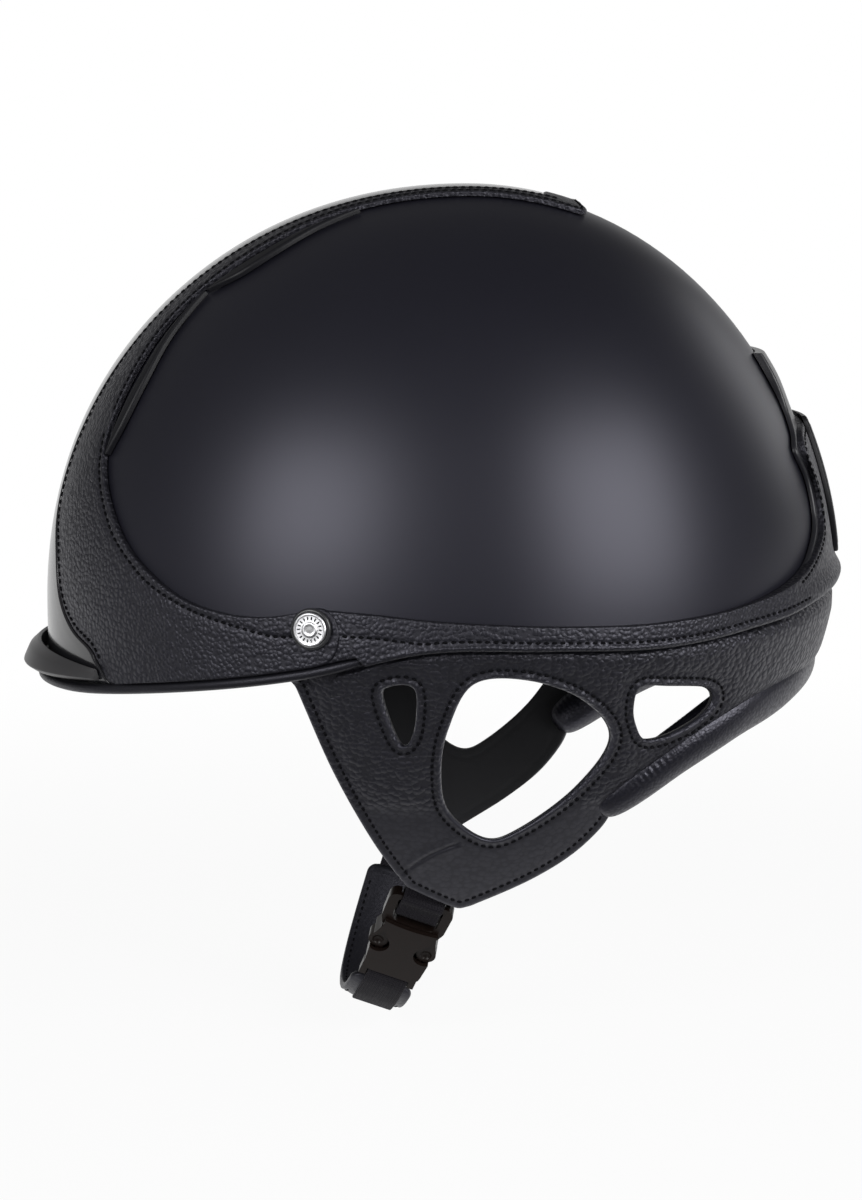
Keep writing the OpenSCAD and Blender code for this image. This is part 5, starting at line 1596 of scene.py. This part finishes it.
for side in (1, -1):
    for face in (1, -1):
        line = sleeve_path + np.stack([way[:, 1], -way[:, 0]], axis=1) * face * 1.15
        across = np.full(len(line), side * (SLEEVE_WIDTH / 2 - 2.1))
        sleeve_seams.append((in_strap(np.column_stack([line, across]))[26:-14], False))

# %% [markdown]
# ## The buckle
# The buckle's halves are moulded, so their CAD meshes serve as the blank: merged, cleaned of
# flat triangles, and given the small radius that a mould leaves on every edge. Each button has
# a round dimple for the fingertip.


# %% Forms that are joined to a blank or cut from it
def slab(outline, low, high):
    """Closed prism on the buckle, from an outline of (across, down) points."""
    return tube_solid(on_buckle([[[x, y, z] for x, y in outline] for z in (low, high)]))


def both_slabs(outline, half):
    """The same prism at both sides of the buckle."""
    return [slab([(s * x, y) for x, y in outline], -half, half) for s in (1, -1)]


def dimple_balls(at):
    """Two balls that press the fingertip's hollow into both faces of a button."""
    mesh = bpy.data.meshes.new("dimple")
    bm = bmesh.new()
    for face in (1, -1):
        place = Matrix.Translation(on_buckle([*at, face * (PADDLE_HALF + 1.3)]) * MM)
        bmesh.ops.create_icosphere(bm, subdivisions=4, radius=2.4 * MM, matrix=place)
    bm.to_mesh(mesh)
    bm.free()
    return new_object("dimple", mesh)


# %% A moulded copy of a CAD node
def moulded_copy(node_name, body, radius, added=(), cut=(), dimple=None):
    """The node's mesh in its finish, with forms joined or cut and a radius on every edge."""
    name = f"{node_name}_moulded"
    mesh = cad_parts[node_name].data.copy()
    mesh.name = name
    mesh.materials.clear()
    mesh.materials.append(MOULDING)
    bm = bmesh.new()
    bm.from_mesh(mesh)
    bmesh.ops.remove_doubles(bm, verts=bm.verts, dist=2e-6)
    bmesh.ops.dissolve_limit(bm, angle_limit=math.radians(1.5), verts=bm.verts, edges=bm.edges)
    bm.to_mesh(mesh)
    bm.free()
    mesh.polygons.foreach_set("material_index", [0] * len(mesh.polygons))
    part = new_object(name, mesh)
    tools = [("UNION", tool_object(joined(added)))] if added else []
    tools += [("DIFFERENCE", tool_object(joined(cut)))] if cut else []
    tools += [("DIFFERENCE", dimple_balls(dimple))] if dimple else []
    for operation, tool in tools:
        work_on(part, operation, tool)
    soft = part.modifiers.new("mould radius", "BEVEL")
    soft.width, soft.segments = radius * MM, 2
    soft.limit_method, soft.angle_limit = "ANGLE", math.radians(35)
    made = evaluated_mesh(part)
    for spent in [part] + [tool for _, tool in tools]:
        bpy.data.objects.remove(spent)
    made.shade_smooth()
    facing = np.zeros((len(made.vertices), 3))
    for face in made.polygons:
        facing[list(face.vertices)] += np.array(face.normal) * face.area
    made.normals_split_custom_set_from_vertices(unit(facing))
    return add_piece(name, made, body, [node_name], smooth=None)


# %% The ladder frame: round window corners and drawn-in lower corners
WINDOW_HALF, WINDOW_END, WINDOW_RADIUS, PADDLE_HALF = 8.2, LADDER_LENGTH - 2.6, 3, 2.35
quarter = np.radians(np.linspace(0, 90, 7))
fillet = [(WINDOW_HALF + 0.4, WINDOW_END + 0.4)]
fillet += [(WINDOW_HALF - WINDOW_RADIUS * (1 - math.sin(a)),
            WINDOW_END - WINDOW_RADIUS * (1 - math.cos(a))) for a in quarter]
corner = [(13, 9.5), (12.1, 9.5), (11.2, 12.6), (10, 15.6), (13, 15.6)]
moulded_copy("buckle_male", "chin_strap", 0.3,
             added=both_slabs(fillet, 2.2), cut=both_slabs(corner, 3))

# %% The female half: its face reaches over the frame's lower bar in a shallow arch
arch = [(x, 13.3 - 0.9 * (x / 9.7) ** 2) for x in np.linspace(-9.7, 9.7, 15)]
faces_over = [slab(arch + [(9.7, FEMALE_START + 2), (-9.7, FEMALE_START + 2)],
                   *sorted((f * 2.42, f * 4.0)))
              for f in (1, -1)]
shoulder = [(13, 14), (9.7, 14), (10.1, 15.6), (11, 18.4), (11.8, 20), (13, 20)]
moulded_copy("buckle_female", "buckle_socket", 0.4, added=faces_over,
             cut=both_slabs(shoulder, 5))

# %% The prongs: drop-shaped paddles with a round hollow for the fingertip
PADDLE_AT, PADDLE_RADIUS = (9.0, FEMALE_START + 8.2), 3.4
for kind, s in (("front", 1), ("rear", -1)):
    x, y = PADDLE_AT
    drop = [(s * (x + PADDLE_RADIUS * math.cos(a)), y + PADDLE_RADIUS * math.sin(a))
            for a in np.radians(np.linspace(-28, 208, 25))] + [(s * x, y - 6.8)]
    moulded_copy(f"prong_{kind}", f"{kind}_prong", 0.15,
                 added=[slab(drop, -PADDLE_HALF, PADDLE_HALF)], dimple=(s * x, y))

# %% [markdown]
# ## The stitching
# All seams are ready as lines, so the stitching tree runs three times: for the trim, for the
# harness and for the sleeve.

# %% Trim seams: front leather, band and yoke
trim_seams = []
for line, groove in ((SIDE_SEAM, 0.45), (crown_seam, 0.3), (strip_seam, 0.22)):
    for side in (1, -1):
        trim_seams.append((seat(line, LEATHER_HIGH - groove + 0.2) * [side, 1, 1], False))
for line in band_seams:
    az_z = np.stack([np.degrees(np.arctan2(line[:, 0], -line[:, 1])) % 360, line[:, 2]], axis=1)
    trim_seams.append((on_band(az_z, LEATHER_HIGH + yoke_lift(az_z, None) - 0.18), False))
STITCH = {"Pitch": 2.7 * MM, "Length": 1.8 * MM, "Thread": 0.45 * MM}
harness_seams += [(line * [-1, 1, 1], closed) for line, closed in harness_seams]
for name, seams, body, slot in (
        ("trim_stitches", trim_seams, "helmet", "trim_leather"),
        ("harness_stitches", harness_seams, "helmet", "harness_leather"),
        ("sleeve_stitches", sleeve_seams, SLACK, "sleeve_leather")):
    grown(name, seam_mesh(seams), STITCHING, STITCH, THREAD, body)

# %% [markdown]
# ## Light, floor and camera
# The photograph is lit by two soft boxes, one on each side of the camera and a little above it,
# on a white ground under a dark ceiling; a third, weak one stands behind the helmet. The camera
# sees white all round, and what the surfaces mirror is white behind the object and low down,
# and dim above and behind the camera.


# %% World
def seen_rays(tree):
    """Which rays look: those from the camera, and those mirrored or passed on by a surface."""
    path = node(tree, "ShaderNodeLightPath")
    mirrored = maths(tree, "MAXIMUM", path.outputs["Is Glossy Ray"],
                     path.outputs["Is Transmission Ray"])
    return path.outputs["Is Camera Ray"], mirrored


world = bpy.data.worlds.new("studio")
bpy.context.scene.world = world
world.use_nodes = True
tree = world.node_tree
tree.nodes.clear()
camera_ray, mirrored = seen_rays(tree)
way = node(tree, "ShaderNodeSeparateXYZ",
           {0: node(tree, "ShaderNodeTexCoord").outputs["Generated"]})
behind = map_range(tree, way.outputs["X"], -0.68, -0.99, kind="SMOOTHSTEP")
low = map_range(tree, way.outputs["Z"], 0.6, 0.05, kind="SMOOTHSTEP")
backdrop = maths(tree, "MULTIPLY", maths(tree, "MULTIPLY", behind, low), mirrored)
white = node(tree, "ShaderNodeBackground", {"Color": (1, 1, 1, 1), "Strength": 1.0})
ceiling = map_range(tree, way.outputs["Y"], 0.4, -0.7, 0.09, 0.19)
room = node(tree, "ShaderNodeBackground", {"Color": (1, 1, 1, 1), "Strength": ceiling})
shown = maths(tree, "MAXIMUM", camera_ray, backdrop)
mixed = node(tree, "ShaderNodeMixShader", {0: shown, 1: room.outputs[0], 2: white.outputs[0]})
node(tree, "ShaderNodeOutputWorld", {"Surface": mixed.outputs[0]})


# %% Lamps
def direction(azimuth, elevation):
    az, el = math.radians(azimuth), math.radians(elevation)
    return Vector((math.sin(az) * math.cos(el), -math.cos(az) * math.cos(el), math.sin(el)))


def soft_box(name, azimuth, elevation, distance, size, power):
    """Area lamp that faces the helmet from a direction given in degrees."""
    way = direction(azimuth, elevation)
    data = bpy.data.lights.new(name, "AREA")
    data.shape, data.size, data.size_y, data.energy = "RECTANGLE", size[0], size[1], power
    obj = new_object(name, data)
    obj.location = way * distance
    obj.rotation_euler = way.to_track_quat("Z", "Y").to_euler()


soft_box("front box", 54, 18, 1.25, (0.6, 0.6), 8.0)
soft_box("rear box", 132, 18, 1.25, (0.8, 0.75), 12.0)
soft_box("back edge", 215, 20, 1.3, (0.5, 0.6), 1.5)

# %% Floor: it keeps a faint shadow near the object and fades to the backdrop's white
FLOOR_Z = -0.156
floor_mesh = bpy.data.meshes.new("floor")
corners = [(x, y, FLOOR_Z) for x, y in ((-4, -4), (4, -4), (4, 4), (-4, 4))]
floor_mesh.from_pydata(corners, [], [(0, 1, 2, 3)])
paper = bpy.data.materials.new("paper")
paper.use_nodes = True
tree = paper.node_tree
shader = tree.nodes["Principled BSDF"]
shader.inputs["Base Color"].default_value = (0.9, 0.9, 0.9, 1)
shader.inputs["Roughness"].default_value = 0.9
camera_ray, mirrored = seen_rays(tree)
far = vector_maths(tree, "LENGTH", {0: object_place(tree)}, "Value")
fade = map_range(tree, far, 0.25, 0.8, 0.93, 1.0, kind="SMOOTHSTEP")
place = node(tree, "ShaderNodeSeparateXYZ", {0: object_place(tree)})
ground = map_range(tree, place.outputs["X"], 0.0, 0.17, 1.0, 0.04, kind="SMOOTHSTEP")
seen = maths(tree, "MULTIPLY", maths(tree, "MAXIMUM", camera_ray, mirrored), fade)
glow = node(tree, "ShaderNodeEmission", {"Color": (1, 1, 1, 1),
                                         "Strength": maths(tree, "MAXIMUM", camera_ray, ground)})
mixed = node(tree, "ShaderNodeMixShader", {0: seen, 1: shader.outputs[0], 2: glow.outputs[0]})
tree.links.new(mixed.outputs[0], tree.nodes["Material Output"].inputs["Surface"])
floor_mesh.materials.append(paper)
floor = new_object("floor", floor_mesh)

# %% Camera
target = Vector((0, -0.0125, 0))
camera_data = bpy.data.cameras.new("camera")
camera_data.lens, camera_data.sensor_fit, camera_data.sensor_height = 83.333, "VERTICAL", 36
camera = new_object("camera", camera_data)
camera.location = target + 1.0 * direction(87, 9)
camera.rotation_euler = (target - camera.location).to_track_quat("-Z", "Y").to_euler()
bpy.context.scene.camera = camera
bpy.context.scene.view_settings.view_transform = "Standard"
